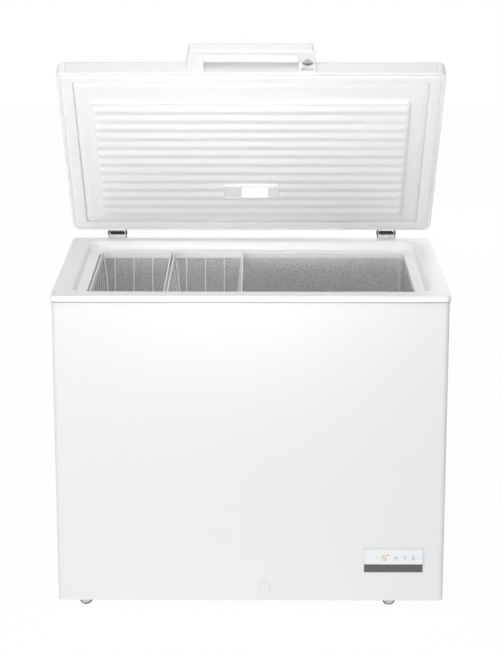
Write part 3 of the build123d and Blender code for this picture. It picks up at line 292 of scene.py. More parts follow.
def dress(piece, finish):
    """Give a piece one material."""
    piece.data.materials.clear()
    piece.data.materials.append(finish)


finishes = {
    "white_enamel": enamelled_steel(),
    "white_moulding": moulded_white("white_moulding", 0.38),
    "embossed_aluminium": stucco_aluminium(),
    "galvanised_steel": galvanised(),
    "coil_aluminium": bare_metal("coil_aluminium", (0.75, 0.75, 0.76), 0.35),
    "copper": bare_metal("copper", (0.72, 0.38, 0.24), 0.3),
    "foam": blown_foam(),
    "black_enamel": plain_plastic("black_enamel", (0.012, 0.012, 0.013), 0.25),
    "dark_rubber": rubber("dark_rubber", (0.02, 0.02, 0.02)),
    "gasket_rubber": rubber("gasket_rubber", (0.86, 0.865, 0.87)),
    "zinc_steel": bare_metal("zinc_steel", STEEL, 0.3),
    "chrome": bare_metal("chrome", (0.75, 0.76, 0.78), 0.12),
    "dark_moulding": plain_plastic("dark_moulding", (0.03, 0.03, 0.032), 0.5),
    "castor_nylon": plain_plastic("castor_nylon", (0.035, 0.035, 0.037), 0.45),
    "dark_panel": plain_plastic("dark_panel", (0.09, 0.09, 0.093), 0.3, FINE_GRAIN),
    "white_panel": moulded_white("white_panel", 0.2, FINE_GRAIN, (0.84, 0.87, 0.89)),
    "circuit_board": circuit_board(),
    "lamp_diffuser": lamp_diffuser(),
}
for subpart in frame["record"]["subparts"]:
    dress(nodes[subpart["node"]], finishes[subpart["material_slot"]])

# ======== Sizes of the object's pieces ========
rim_low, rim_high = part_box("collar")
top_z = rim_high.z
LID_GAP = 6 * mm  # gasket space between the collar and the lid's rim
SKIRT = 40 * mm
rim_z = top_z + LID_GAP
lid_top = rim_z + SKIRT

FLAT_FRONT = 49 * mm  # collar's flat top
FLAT_BACK = 40 * mm
FLAT_SIDE = 47 * mm
BAND = 14 * mm  # collar's edge over the casing
DROP = 23 * mm  # from the collar's top to the basket ledge
LIP = 16 * mm  # height of the lip inside the ledge
WALL = 2.5 * mm
LIP_INSET = 29 * mm
RIM_R = 14 * mm  # corners of the collar's outside, its opening and its lip
MOUTH_R = 32 * mm
LIP_R = 18 * mm
DRAFT = 4 * mm  # how far the opening's sides lean in, down to the ledge
FLAT_THICK = 3 * mm

LID_R = 20 * mm
LID_EDGE = [9] * 3  # rounding of its top edge, in millimetres
CAP = 21 * mm  # the lid's corner caps, along each side
SEAM = 0.3 * mm  # half of the gap beside them

ARC = 8  # divisions of each rounded corner
MERGE = 0.01 * mm  # points nearer than this become one
CLEAR_EDGE = 30.0  # degrees from which an edge of a copied node is rounded


# ======== Shaping ========
def stand(name, data):
    """Stand a mesh, a lamp or a camera in the scene as an object."""
    thing = bpy.data.objects.new(name, data)
    bpy.context.scene.collection.objects.link(thing)
    return thing


def plain(name, points, faces):
    """Make a mesh object from points and faces as they are."""
    data = bpy.data.meshes.new(name)
    data.from_pydata(points, [], faces)
    return stand(name, data)


def formed(name, form):
    """Make a mesh object from a form that was built up in memory, and free the form."""
    data = bpy.data.meshes.new(name)
    form.to_mesh(data)
    form.free()
    return stand(name, data)


def shape(name, points, faces):
    """Make a mesh object from points and faces, clean it and shade it by its edges."""
    return tidy(plain(name, points, faces))


def shade(piece, angle):
    """Shade a piece smoothly, with the edges that turn by more than an angle kept sharp."""
    piece.data.shade_smooth()
    piece.data.set_sharp_from_angle(angle=math.radians(angle))


def tidy(piece):
    """Merge doubles, turn every face outwards and keep only the clear edges sharp."""
    form = bmesh.new()
    form.from_mesh(piece.data)
    bmesh.ops.remove_doubles(form, verts=form.verts, dist=MERGE)
    bmesh.ops.dissolve_degenerate(form, edges=form.edges, dist=MERGE)
    bmesh.ops.recalc_face_normals(form, faces=form.faces)
    form.to_mesh(piece.data)
    form.free()
    shade(piece, 35.0)
    return piece


def bake(piece):
    """Turn a piece and its modifiers into a plain mesh."""
    bpy.context.view_layer.update()
    shown = piece.evaluated_get(bpy.context.evaluated_depsgraph_get())
    data = bpy.data.meshes.new_from_object(shown)
    piece.modifiers.clear()
    piece.data = data
    return piece


def modified(piece, kind, **settings):
    """Add a modifier with its settings and bake it in."""
    change = piece.modifiers.new(kind.lower(), kind)
    for name, value in settings.items():
        setattr(change, name, value)
    return bake(piece)


def weighted(piece):
    """Shade small bends smoothly and leave the large flats flat."""
    return modified(piece, "WEIGHTED_NORMAL", keep_sharp=True, weight=80)


def joined(name, pieces):
    """Join several pieces of one material into one."""
    form = bmesh.new()
    for piece in pieces:
        form.from_mesh(piece.data)
        bpy.data.objects.remove(piece)
    return formed(name, form)


def softened(name, node, width):
    """Copy a CAD node into a piece and round its edges."""
    form = bmesh.new()
    form.from_mesh(nodes[node].data)
    bmesh.ops.remove_doubles(form, verts=form.verts, dist=MERGE)
    bmesh.ops.dissolve_limit(
        form, angle_limit=math.radians(1.0), verts=form.verts, edges=form.edges
    )
    piece = formed(name, form)
    shade(piece, CLEAR_EDGE)
    modified(
        piece, "BEVEL", width=width, segments=2, limit_method="ANGLE",
        angle_limit=math.radians(CLEAR_EDGE), use_clamp_overlap=True,
    )
    shade(piece, 50.0)
    return weighted(piece)


def rounded_box(name, low, high, radius, steps=3):
    """Make a box with rounded edges between two corners."""
    xs, ys, zs = zip(low, high)
    points = [(x, y, z) for x in xs for y in ys for z in zs]
    faces = [(0, 1, 3, 2), (4, 6, 7, 5), (0, 4, 5, 1), (2, 3, 7, 6), (0, 2, 6, 4), (1, 5, 7, 3)]
    piece = shape(name, points, faces)
    modified(piece, "BEVEL", width=radius, segments=steps, limit_method="NONE")
    piece.data.shade_smooth()
    return weighted(piece)


def place(piece, body, slot, *replaced, finish=None):
    """Give a piece its finish, hang it on the empty of the body that carries it, and hide the CAD nodes it
    replaces.
    """
    dress(piece, finish or finishes[slot])
    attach(piece, body)
    if replaced:
        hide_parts(*replaced)
    return piece


def bend(corners, amounts, closed=False, steps=4):
    """Round a profile's corners, each by its own amount in millimetres.

    A corner is a tuple of sizes. Its third one and its last, the height, say how far it lies
    from the next corner.
    """
    count = len(corners)
    corners = [np.array(corner) for corner in corners]
    profile = []
    for k, (here, amount) in enumerate(zip(corners, [size * mm for size in amounts])):
        if amount == 0 or (not closed and k in (0, count - 1)):
            profile.append(here)
            continue
        ends = []
        for other in (corners[k - 1], corners[(k + 1) % count]):
            run = math.dist(other[[2, -1]], here[[2, -1]])
            ends.append(here + (other - here) * min(0.49, amount / run))
        for step in range(steps + 1):
            along = step / steps
            back = 1 - along
            profile.append(back ** 2 * ends[0] + 2 * along * back * here + along * along * ends[1])
    return profile


def loop(left, right, front, back, radius, z):
    """Return the points of a rounded rectangle, counter-clockwise from its front left corner."""
    radius = max(radius, 0.2 * mm)
    points = []
    corners = ((left, front, 1, 1, 2), (right, front, -1, 1, 3), (right, back, -1, -1, 0),
               (left, back, 1, -1, 1))
    for x, y, inward_x, inward_y, quarter in corners:
        for step in range(ARC + 1):
            angle = (quarter + step / ARC) * math.pi / 2
            points.append((
                x + inward_x * radius + radius * math.cos(angle),
                y + inward_y * radius + radius * math.sin(angle),
                z,
            ))
    return points


def loft(name, profile, closed=False):
    """Skin a profile of rounded rectangles: a closed ring, or a form with flat ends."""
    rows = [loop(*level) for level in profile]
    points = [point for row in rows for point in row]
    around = len(rows[0])
    faces = []
    for k in range(len(rows) if closed else len(rows) - 1):
        here, above = k * around, ((k + 1) % len(rows)) * around
        for j in range(around):
            beside = (j + 1) % around
            faces.append((here + j, here + beside, above + beside, above + j))
    if not closed:
        faces.append(tuple(reversed(range(around))))
        faces.append(tuple(range(len(points) - around, len(points))))
    return shape(name, points, faces)


def outline(inset, radius, z):
    """Return the collar's and the lid's outline, drawn in on every side."""
    return (rim_low.x + inset, rim_high.x - inset, rim_low.y + inset, rim_high.y - inset, radius, z)


def sided(front, side, back, radius, z):
    """Return that outline, drawn in by its own distance at the front, sides and back."""
    return (rim_low.x + side, rim_high.x - side, rim_low.y + front, rim_high.y - back, radius, z)


def mouth(inset, radius, z):
    """Return the outline of the collar's opening, drawn in on every side."""
    return sided(FLAT_FRONT + inset, FLAT_SIDE + inset, FLAT_BACK + inset, radius, z)


def levels(base, *rows):
    """Return levels from rows of an outline, its inset and radius, and a height, in millimetres."""
    return [shape_of(inset * mm, radius * mm, base + height * mm)
            for shape_of, inset, radius, height in rows]


# The lid's pieces are shaped shut, and swing up about the hinge.
lid_hinge = joints["lid_hinge"]
hinge_at = Vector(lid_hinge["pos_m"])
SWING = (
    Matrix.Translation(hinge_at)
    @ Matrix.Rotation(math.radians(lid_hinge["range_deg"][0]), 4, "X")
    @ Matrix.Translation(-hinge_at)
)
unswing = SWING.inverted()


def shut_box(node):
    """Return the lowest and highest corners of a lid node with the lid shut."""
    points = [unswing @ vertex.co for vertex in nodes[node].data.vertices]
    return (
        Vector(min(p[axis] for p in points) for axis in range(3)),
        Vector(max(p[axis] for p in points) for axis in range(3)),
    )


def swing_up(piece):
    """Open a lid piece that was shaped with the lid shut."""
    piece.data.transform(SWING)
    return piece


# ======== Collar ========
ledge_z = top_z - DROP
lip_z = ledge_z - LIP
collar_profile = bend(
    [
        outline(0, RIM_R, top_z - BAND),
        outline(0, RIM_R, top_z),
        mouth(0, MOUTH_R, top_z),
        mouth(DRAFT, MOUTH_R - DRAFT, ledge_z),
        mouth(LIP_INSET, LIP_R, ledge_z),
        mouth(LIP_INSET, LIP_R, lip_z),
        mouth(LIP_INSET - WALL, LIP_R + WALL, lip_z),
        mouth(LIP_INSET - WALL, LIP_R + WALL, ledge_z - WALL),
        mouth(-WALL, MOUTH_R + WALL, ledge_z - WALL),
        mouth(-WALL, MOUTH_R + WALL, top_z - FLAT_THICK),
        outline(WALL, RIM_R - WALL, top_z - FLAT_THICK),
        outline(WALL, RIM_R - WALL, top_z - BAND),
    ],
    [0.6, 5, 9, 4, 3, 0.8, 0.8, 0, 0, 0, 0, 0.6],
    closed=True,
)
place(weighted(loft("collar_frame", collar_profile, True)), "cabinet", "white_moulding",
      "collar", "breaker_strip")

SHADE_STRIP_FRONT = 1 * mm  # a thin dark grey strip under the collar's edge is painted shade: it stands in for the shadow line there
SHADE_STRIP_BACK = 3.2 * mm
shade_strip_low = top_z - BAND - 2.4 * mm
shade_strip_high = top_z - BAND + 1 * mm
shade_strip_profile = [
    outline(inset, RIM_R - inset, z)
    for inset, z in ((SHADE_STRIP_FRONT, shade_strip_low), (SHADE_STRIP_FRONT, shade_strip_high),
                     (SHADE_STRIP_BACK, shade_strip_high), (SHADE_STRIP_BACK, shade_strip_low))
]
# Painted shade: the strip's dark grey stands in for the shadow under the collar's edge.
shade_strip_grey = plain_plastic("shade_strip_grey", (0.32, 0.325, 0.33), 0.5)
place(loft("collar_shade_strip", shade_strip_profile, True), "cabinet", "gasket_rubber", finish=shade_strip_grey)


# ======== Lid shell ========
def corner_cap(name, turn_x, turn_y):
    """Make one moulded corner of the lid, with its rounded upright and top edges."""
    corner_x = rim_low.x if turn_x > 0 else rim_high.x
    corner_y = rim_low.y if turn_y > 0 else rim_high.y
    profile = bend(
        [(0, 0, 0, rim_z), (0, 0, 0, lid_top), (0, 0, LID_R / 2, lid_top)],
        LID_EDGE, steps=6,
    )
    rows = []
    for *_, inset, z in profile:
        radius = LID_R - inset
        row = [(inset, CAP - SEAM)]
        for step in range(ARC + 1):
            angle = math.pi + step / ARC * math.pi / 2
            row.append((LID_R + radius * math.cos(angle), LID_R + radius * math.sin(angle)))
        row.append((CAP - SEAM, inset))
        rows.append([(corner_x + turn_x * u, corner_y + turn_y * v, z) for u, v in row])
    across = len(rows[0])
    points = [point for row in rows for point in row]
    inner = corner_x + turn_x * (CAP - SEAM), corner_y + turn_y * (CAP - SEAM), lid_top
    points.append(inner)
    faces = [
        (k * across + j, k * across + j + 1, (k + 1) * across + j + 1, (k + 1) * across + j)
        for k in range(len(rows) - 1) for j in range(across - 1)
    ]
    faces.append((*range((len(rows) - 1) * across, len(rows) * across), len(points) - 1))
    cap = shape(name, points, faces)
    if sum(face.normal.z for face in cap.data.polygons) < 0:
        cap.data.flip_normals()
    return modified(cap, "SOLIDIFY", thickness=WALL, offset=-1)


turns = ((1, 1), (-1, 1), (-1, -1), (1, -1))
caps = [corner_cap(f"cap_{k}", turn_x, turn_y) for k, (turn_x, turn_y) in enumerate(turns)]
lid_caps = swing_up(weighted(tidy(joined("lid_caps", caps))))
place(lid_caps, "lid", "white_moulding", "lid_corner_caps")

SHEET = 0.8 * mm  # thickness of the lid's sheet


def lid_sheet():
    """Make the lid's pressed sheet, notched for the corner caps and crowned on top."""
    notch = CAP + SEAM
    low_x, high_x, low_y, high_y, *_ = outline(0, 0, 0)
    form = bmesh.new()
    edge = bend(
        [(0, 0, 0.0, rim_z), (0, 0, 0.0, lid_top), (0, 0, LID_R, lid_top)], LID_EDGE, steps=6
    )[:-1]
    sides = (
        ((low_x + notch, high_x - notch), lambda u, inset: (u, low_y + inset)),
        ((low_y + notch, high_y - notch), lambda u, inset: (high_x - inset, u)),
        ((high_x - notch, low_x + notch), lambda u, inset: (u, high_y - inset)),
        ((high_y - notch, low_y + notch), lambda u, inset: (low_x + inset, u)),
    )
    flat = []
    for ends, at in sides:
        columns = [
            [form.verts.new((*at(u, inset), z)) for *_, inset, z in edge] for u in ends
        ]
        for k in range(len(edge) - 1):
            form.faces.new((columns[0][k], columns[1][k], columns[1][k + 1], columns[0][k + 1]))
        flat.append((columns[0][-1], columns[1][-1]))
    corners = [
        form.verts.new((x, y, lid_top))
        for x, y in ((high_x - notch, low_y + notch), (high_x - notch, high_y - notch),
                     (low_x + notch, high_y - notch), (low_x + notch, low_y + notch))
    ]
    around = []
    for (start, end), corner in zip(flat, corners):
        around += [start, end, corner]
    border = [
        form.edges.get(pair) or form.edges.new(pair) for pair in zip(around, around[1:] + around[:1])
    ]
    crown = bend(
        levels(lid_top, (outline, 34, 20, 0), (outline, 42, 20, 4), (outline, 60, 20, 4)), [6] * 3
    )
    rows = [[form.verts.new(point) for point in loop(*level)] for level in crown]
    for low, high in zip(rows, rows[1:]):
        for j in range(len(low)):
            beside = (j + 1) % len(low)
            form.faces.new((low[j], low[beside], high[beside], high[j]))
    form.faces.new(rows[-1])
    border += [form.edges.get(pair) for pair in zip(rows[0], rows[0][1:] + rows[0][:1])]
    bmesh.ops.triangle_fill(form, edges=border, use_beauty=True)
    sheet = tidy(formed("lid_sheet", form))
    if sum(face.normal.z * face.area for face in sheet.data.polygons) < 0:
        sheet.data.flip_normals()
    return modified(sheet, "SOLIDIFY", thickness=SHEET, offset=-1)


place(swing_up(weighted(tidy(lid_sheet()))), "lid", "white_enamel", "lid_skin")

# The inner frame ends in a rounded lip under the skirt, and carries the gasket.
SEAM_FRONT = 32.5 * mm  # where the liner starts, from the lid's sides
SEAM_SIDE = 39.5 * mm
SEAM_BACK = 33.5 * mm


def seam(inset, radius, z):
    """Return the liner's outline, drawn in on every side."""
    return sided(SEAM_FRONT + inset, SEAM_SIDE + inset, SEAM_BACK + inset, radius, z)


frame_profile = bend(
    levels(
        rim_z,
        (outline, 0.2, 19.8, -0.3), (outline, 0.2, 19.8, -3.2), (outline, 7, 14, -3.2),
        (outline, 9, 12, 0), (seam, -0.3, 7, 0), (seam, -0.3, 7, 5),
        (outline, 1.5, 18.5, 5), (outline, 1.5, 18.5, -0.3),
    ),
    [0.2, 2.4, 2.4, 1, 0.5, 0, 0, 0],
    closed=True,
)
lid_rim = swing_up(weighted(loft("lid_rim", frame_profile, True)))
place(lid_rim, "lid", "white_moulding", "lid_frame")

gasket_profile = bend(
    levels(
        rim_z,
        (outline, 11, 12, 0.5), (outline, 12, 11, -5.3), (outline, 20, 8, -5.6),
        (seam, -1.2, 7, -5.3), (seam, -0.6, 7, -2.4), (seam, -1.4, 8, -1.2), (seam, -1, 7, 0.5),
    ),
    [0, 1.8, 2, 1.8, 0.6, 0.6, 0],
    closed=True,
)
lid_seal = swing_up(weighted(loft("lid_seal", gasket_profile, True)))
place(lid_seal, "lid", "gasket_rubber", "lid_gasket")

# ======== Lid liner ========
REST_STEP = 5 * mm  # the liner stands out of its frame, and its ribbed field out of that
FIELD_STEP = 8.5 * mm
FIELD_FRONT = 88 * mm
FIELD_SIDE = 79 * mm
FIELD_BACK = 55 * mm
RIBS = 13
RIB_PITCH = 32 * mm
RIB_HEIGHT = 3.2 * mm
RIB_END = 9 * mm  # length over which a rib's end rises
rest_z = rim_z - REST_STEP
field_z = rest_z - FIELD_STEP


def field(inset, radius, z):
    """Return the ribbed field's outline, drawn in on every side."""
    return sided(FIELD_FRONT + inset, FIELD_SIDE + inset, FIELD_BACK + inset, radius, z)


liner_profile = bend(
    [
        seam(0.2 * mm, 12 * mm, rim_z + 1 * mm),
        seam(0.2 * mm, 12 * mm, rim_z - 1 * mm),
        seam(12 * mm, 16 * mm, rest_z),
        field(0, 18 * mm, rest_z),
        field(5 * mm, 14 * mm, field_z),
        field(12 * mm, 10 * mm, field_z),
    ],
    [0, 0.5, 6, 3, 3, 0],
)
liner_shell = loft("liner_shell", liner_profile)
rib_low_x, rib_high_x, rib_low_y, rib_high_y, *_ = field(6 * mm, 0, 0)
rib_centre_y = (rib_low_y + rib_high_y) / 2


def rib_height(x, y):
    """Return how far the soft ribs stand out of the field at a point."""
    end = min(x - rib_low_x, rib_high_x - x) / RIB_END
    along = (y - rib_centre_y) / RIB_PITCH
    if abs(along) > RIBS / 2:
        return 0.0
    swell = min(1.0, max(0.0, end)) ** 0.5
    return RIB_HEIGHT * swell * (0.5 + 0.5 * math.cos(2 * math.pi * along)) ** 0.8


def ribbed_sheet():
    """Make the ribs as one pressed sheet just proud of the liner's field."""
    ends = [0.0, 0.6, 1.5, 3.0, 5.0, 7.0, 9.0]
    xs = [rib_low_x + end * mm for end in ends] + list(
        np.linspace(rib_low_x + 20 * mm, rib_high_x - 20 * mm, 9)
    ) + [rib_high_x - end * mm for end in reversed(ends)]
    ys = np.linspace(rib_low_y, rib_high_y, 24 * RIBS)
    points = [(x, y, field_z + 0.05 * mm - rib_height(x, y)) for y in ys for x in xs]
    across = len(xs)
    faces = [
        (k * across + j, (k + 1) * across + j, (k + 1) * across + j + 1, k * across + j + 1)
        for k in range(len(ys) - 1) for j in range(across - 1)
    ]
    piece = plain("ribs", points, faces)
    piece.data.shade_smooth()
    return piece


liner = joined("lid_inner_panel", [weighted(liner_shell), ribbed_sheet()])
place(swing_up(liner), "lid", "white_moulding", "lid_liner")

foam_profile = levels(
    rim_z, (seam, 1.5, 12, 1.2), (seam, 1.5, 12, 5.2), (outline, 3, 17, 5.2)
) + levels(lid_top, (outline, 3, 17, -10), (outline, 6, 14, -5), (outline, 11, 9, -2))
place(swing_up(loft("lid_core", foam_profile)), "lid", "foam", "lid_foam")

# The lamp's housing has a long lens between two plain covers.
lamp_low, lamp_high = shut_box("lamp_housing")
LENS_W = 66 * mm
LENS_OFF = 8.5 * mm  # lens to the right of the housing's middle
LENS_IN = 5.8 * mm  # its long sides, from the housing's
LAMP_LIP = 5 * mm
COVER_END = 4.5 * mm  # the covers' outer ends, from the lip
COVER_IN = 7 * mm  # their long sides, from the housing's
COVER_GAP = 1.5 * mm
COVER_FACE = 0.7 * mm
COVER_BACK = 3 * mm
lamp_face = lamp_low.z


def lamp_level(inset, radius, z):
    """Return the lamp housing's outline, drawn in on every side."""
    return (lamp_low.x + inset, lamp_high.x - inset, lamp_low.y + inset, lamp_high.y - inset,
            radius, z)


housing_profile = bend(
    levels(
        lamp_face,
        (lamp_level, 0, 4, 9), (lamp_level, 0, 4, 0), (lamp_level, 5, 1.5, 0),
        (lamp_level, 5.8, 1.5, 1.6), (lamp_level, 13, 1, 1.6),
    ),
    [0, 1.6, 0.5, 0.3, 0],
)
lens_left = (lamp_low.x + lamp_high.x) / 2 + LENS_OFF - LENS_W / 2
lamp_pieces = [weighted(loft("housing", housing_profile))]
for name, left, right in (
    ("cover_left", lamp_low.x + LAMP_LIP + COVER_END, lens_left - COVER_GAP),
    ("cover_right", lens_left + LENS_W + COVER_GAP, lamp_high.x - LAMP_LIP - COVER_END),
):
    lamp_pieces.append(rounded_box(
        name, (left, lamp_low.y + COVER_IN, lamp_face + COVER_FACE),
        (right, lamp_high.y - COVER_IN, lamp_face + COVER_BACK), 0.6 * mm,
    ))
place(swing_up(joined("lamp_body", lamp_pieces)), "lid", "white_moulding", "lamp_housing")
lamp_glass = rounded_box(
    "lamp_glass", (lens_left, lamp_low.y + LENS_IN, lamp_face + 0.1 * mm),
    (lens_left + LENS_W, lamp_high.y - LENS_IN, lamp_face + COVER_BACK), 1.2 * mm,
)
place(swing_up(lamp_glass), "lid", "lamp_diffuser", "lamp_lens")

# ======== Baskets ========
BASKET_WALL = 2.4 * mm
BASKET_BAND = 17 * mm  # height of the plain band under the rim
BASKET_FOOT = 14 * mm  # and of the one round the floor
FOOT_IN = 12 * mm  # how far that one turns in under the floor
BASKET_TAPER = math.tan(math.radians(6.0))
BASKET_REST = 18 * mm  # rim resting on the ledge, front and back
REST_IN = 1.2 * mm
BASKET_RIB = 3.4 * mm
RIB_SINK = 2 * mm  # how far the ribs reach into the bands
END_RIBS = 3
END_RIBS_ASIDE = 9 * mm  # the end walls' ribs, to the left of the basket's middle
END_PITCH = 49.5 * mm
END_THICK = 0.7  # a rib's thickness to its width, on the end and the side walls
SIDE_THICK = 0.6
SIDE_PITCH = 44 * mm
SIDE_MARGIN = 24 * mm
POST = 2.4 * mm  # half-width of the corner posts
POST_IN = 2.2 * mm
FLOOR_RIBS = 5
FLOOR_PITCH = 22 * mm
FLOOR_MARGIN = 8 * mm
BAR_SIDES = 8


def rib_row_tree():
    """Build the tree that repeats one rib along a line, and return it and its inputs' keys."""
    tree = bpy.data.node_groups.new("rib_row", "GeometryNodeTree")
    keys = []
    for name, kind in (
        ("Rib", "Geometry"), ("Count", "Int"), ("First", "Vector"), ("Step", "Vector"),
        ("Finish", "Material"),
    ):
        socket = tree.interface.new_socket(name, in_out="INPUT", socket_type="NodeSocket" + kind)
        keys.append(socket.identifier)
    tree.interface.new_socket("Rows", in_out="OUTPUT", socket_type="NodeSocketGeometry")
    start = tree.nodes.new("NodeGroupInput")
    line = tree.nodes.new("GeometryNodeMeshLine")
    copies = tree.nodes.new("GeometryNodeInstanceOnPoints")
    real = tree.nodes.new("GeometryNodeRealizeInstances")
    skin = tree.nodes.new("GeometryNodeSetMaterial")
    end = tree.nodes.new("NodeGroupOutput")
    for giver, output, taker, socket in (
        (start, "Count", line, "Count"),
        (start, "First", line, "Start Location"),
        (start, "Step", line, "Offset"),
        (line, "Mesh", copies, "Points"),
        (start, "Rib", copies, "Instance"),
        (copies, "Instances", real, "Geometry"),
        (real, "Geometry", skin, "Geometry"),
        (start, "Finish", skin, "Material"),
        (skin, "Geometry", end, "Rows"),
    ):
        tree.links.new(giver.outputs[output], taker.inputs[socket])
    return tree, keys


rib_row, row_keys = rib_row_tree()
basket_white = moulded_white("basket_white", 0.35, white=BASKET_WHITE)


def repeated(rib, count, first, step):
    """Repeat a rib along a line with the geometry nodes, as a plain mesh."""
    change = rib.modifiers.new("row", "NODES")
    change.node_group = rib_row
    for key, value in zip(row_keys[1:], (count, first, step, basket_white)):
        change[key] = value
    return bake(rib)


def row_start(middle, count, pitch):
    """Return where a row of ribs starts when it lies evenly about its middle."""
    return middle - (count - 1) / 2 * pitch


def slim_bar(name, foot, head, wide, deep):
    """Make a bar between two points, with half its section's width and depth as vectors."""
    foot, head, wide, deep = Vector(foot), Vector(head), Vector(wide), Vector(deep)
    angles = np.linspace(0, 2 * math.pi, BAR_SIDES + 1)[:-1] + math.pi / BAR_SIDES
    section = [wide * math.cos(angle) + deep * math.sin(angle) for angle in angles]
    points = [end + offset for end in (foot, head) for offset in section]
    faces = [tuple(reversed(range(BAR_SIDES))), tuple(range(BAR_SIDES, 2 * BAR_SIDES))]
    for j in range(BAR_SIDES):
        beside = (j + 1) % BAR_SIDES
        faces.append((j, beside, BAR_SIDES + beside, BAR_SIDES + j))
    return shape(name, points, faces)


def hanging_basket(name, body, node):
    """Make one basket: a rim and band, ribbed tapering walls, and a ribbed floor."""
    low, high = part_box(node)
    top = high.z
    deep = top - low.z
    front, back = low.y + BASKET_REST, high.y - BASKET_REST
    wall = BASKET_WALL

    def level(inset, radius, down):
        """Return the walls' outline some way below the rim, drawn in on every side."""
        lean = down * BASKET_TAPER + inset
        return (low.x + lean, high.x - lean, front + lean, back - lean, radius, top - down)

    band = bend(
        [
            level(0, 8 * mm, BASKET_BAND), level(0, 10 * mm, wall), level(0, 10 * mm, 0),
            level(wall + 0.6 * mm, 8 * mm, 0), level(wall, 8 * mm, wall),
            level(wall, 6 * mm, BASKET_BAND),
        ],
        [0.5, 0, 1.2, 1.2, 0, 0.5], closed=True,
    )
    foot_down = deep - BASKET_FOOT
    foot = bend(
        [
            level(0, 8 * mm, deep), level(0, 8 * mm, foot_down),
            level(wall, 6 * mm, foot_down), level(wall, 6 * mm, deep - wall),
            level(FOOT_IN, 6 * mm, deep - wall), level(FOOT_IN, 6 * mm, deep),
        ],
        [0.6] * 6, closed=True,
    )
    pieces = [loft("band", band, True), loft("foot", foot, True)]
    for near, far in ((low.y, front), (back, high.y)):
        pieces.append(rounded_box(
            "tab", (low.x + REST_IN, near, top - wall), (high.x - REST_IN, far, top), 0.8 * mm, 2,
        ))

    centre_x = (low.x + high.x) / 2
    centre_y = (front + back) / 2
    slim = BASKET_RIB / 2
    upper, lower = BASKET_BAND - RIB_SINK, foot_down + RIB_SINK

    def lean_at(down):
        """Return how far the middle of a wall lies in from the rim, some way below it."""
        return down * BASKET_TAPER + wall / 2

    # End walls, front and back
    for edge, inward in ((front, 1), (back, -1)):
        rib = slim_bar(
            "end_rib", (0, edge + inward * lean_at(lower), top - lower),
            (0, edge + inward * lean_at(upper), top - upper), (slim, 0, 0),
            (0, slim * END_THICK, 0),
        )
        first = row_start(centre_x - END_RIBS_ASIDE, END_RIBS, END_PITCH)
        pieces.append(repeated(rib, END_RIBS, (first, 0, 0), (END_PITCH, 0, 0)))
    # Long side walls
    side_ribs = int((back - front - 2 * lean_at(lower) - SIDE_MARGIN) / SIDE_PITCH)
    for edge, inward in ((low.x, 1), (high.x, -1)):
        rib = slim_bar(
            "side_rib", (edge + inward * lean_at(lower), 0, top - lower),
            (edge + inward * lean_at(upper), 0, top - upper), (0, slim, 0),
            (slim * SIDE_THICK, 0, 0),
        )
        first = row_start(centre_y, side_ribs, SIDE_PITCH)
        pieces.append(repeated(rib, side_ribs, (0, first, 0), (0, SIDE_PITCH, 0)))
    # Corner posts
    for x, turn_x in ((low.x, 1), (high.x, -1)):
        for y, turn_y in ((front, 1), (back, -1)):
            ends = [
                (x + turn_x * (lean_at(down) + POST_IN), y + turn_y * (lean_at(down) + POST_IN),
                 top - down) for down in (lower, upper)
            ]
            pieces.append(slim_bar("post", *ends, (POST, 0, 0), (0, POST, 0)))
    # Floor
    floor_z = top - deep + wall / 2
    floor_x = (high.x - low.x) / 2 - lean_at(deep) - FLOOR_MARGIN
    floor_y = (back - front) / 2 - lean_at(deep) - FLOOR_MARGIN
    along = slim_bar("floor_along", (0, centre_y - floor_y, floor_z), (0, centre_y + floor_y, floor_z),
                     (slim, 0, 0), (0, 0, wall / 2))
    first = row_start(centre_x, FLOOR_RIBS, FLOOR_PITCH)
    pieces.append(repeated(along, FLOOR_RIBS, (first, 0, 0), (FLOOR_PITCH, 0, 0)))
    cross = slim_bar("floor_cross", (centre_x - floor_x, 0, floor_z), (centre_x + floor_x, 0, floor_z),
                     (0, slim, 0), (0, 0, wall / 2))
    cross_ribs = int(2 * floor_y / FLOOR_PITCH)
    first = row_start(centre_y, cross_ribs, FLOOR_PITCH)
    pieces.append(repeated(cross, cross_ribs, (0, first, 0), (0, FLOOR_PITCH, 0)))
    for piece in pieces:
        piece.data.materials.clear()
    place(joined(name, pieces), body, "white_moulding", node, finish=basket_white)


hanging_basket("left_basket", "basket_left", "basket_left")
hanging_basket("right_basket", "basket_right", "basket_right")

# ======== Handle ========
handle_white = moulded_white("handle_white", 0.4, white=WHITE)
place(softened("handle", "lid_handle", 1.2 * mm), "lid", "white_moulding", "lid_handle",
      finish=handle_white)

# ======== Hinges ========
HINGE_IN = 25.5 * mm  # a hinge's middle, from the outer end of its pin
PLATE_ASIDE = 11.4 * mm  # a hinge's two plates, from its middle
PLATE_HALF = 10.7 * mm
PLATE_FRONT = 9 * mm  # their faces, in front of the pin
PLATE_BACK = 7.4 * mm
PLATE_DOWN = 4 * mm  # their feet below the collar's top, and their heads below the pin
# Dark steel on the hinge springs, pins and leaves: partly their own dark metal, partly painted shade standing in
# for the shadow inside the hinges.
dark_steel_and_shade = bare_metal("hinge_steel_dark_and_shade", (0.075, 0.075, 0.08), 0.4)
for node in ("hinge_springs", "hinge_pins", "hinge_leaves"):
    dress(nodes[node], dark_steel_and_shade)
pin_low, pin_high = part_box("hinge_pins")
plates = []
for x in (pin_low.x + HINGE_IN, pin_high.x - HINGE_IN):
    for side in (-1, 1):
        middle = x + side * PLATE_ASIDE
        plates.append(rounded_box(
            "plate", (middle - PLATE_HALF, hinge_at.y - PLATE_FRONT, top_z - PLATE_DOWN),
            (middle + PLATE_HALF, hinge_at.y - PLATE_BACK, hinge_at.z - PLATE_DOWN), 0.6 * mm,
        ))
place(joined("hinge_front_plates", plates), "cabinet", "white_moulding")

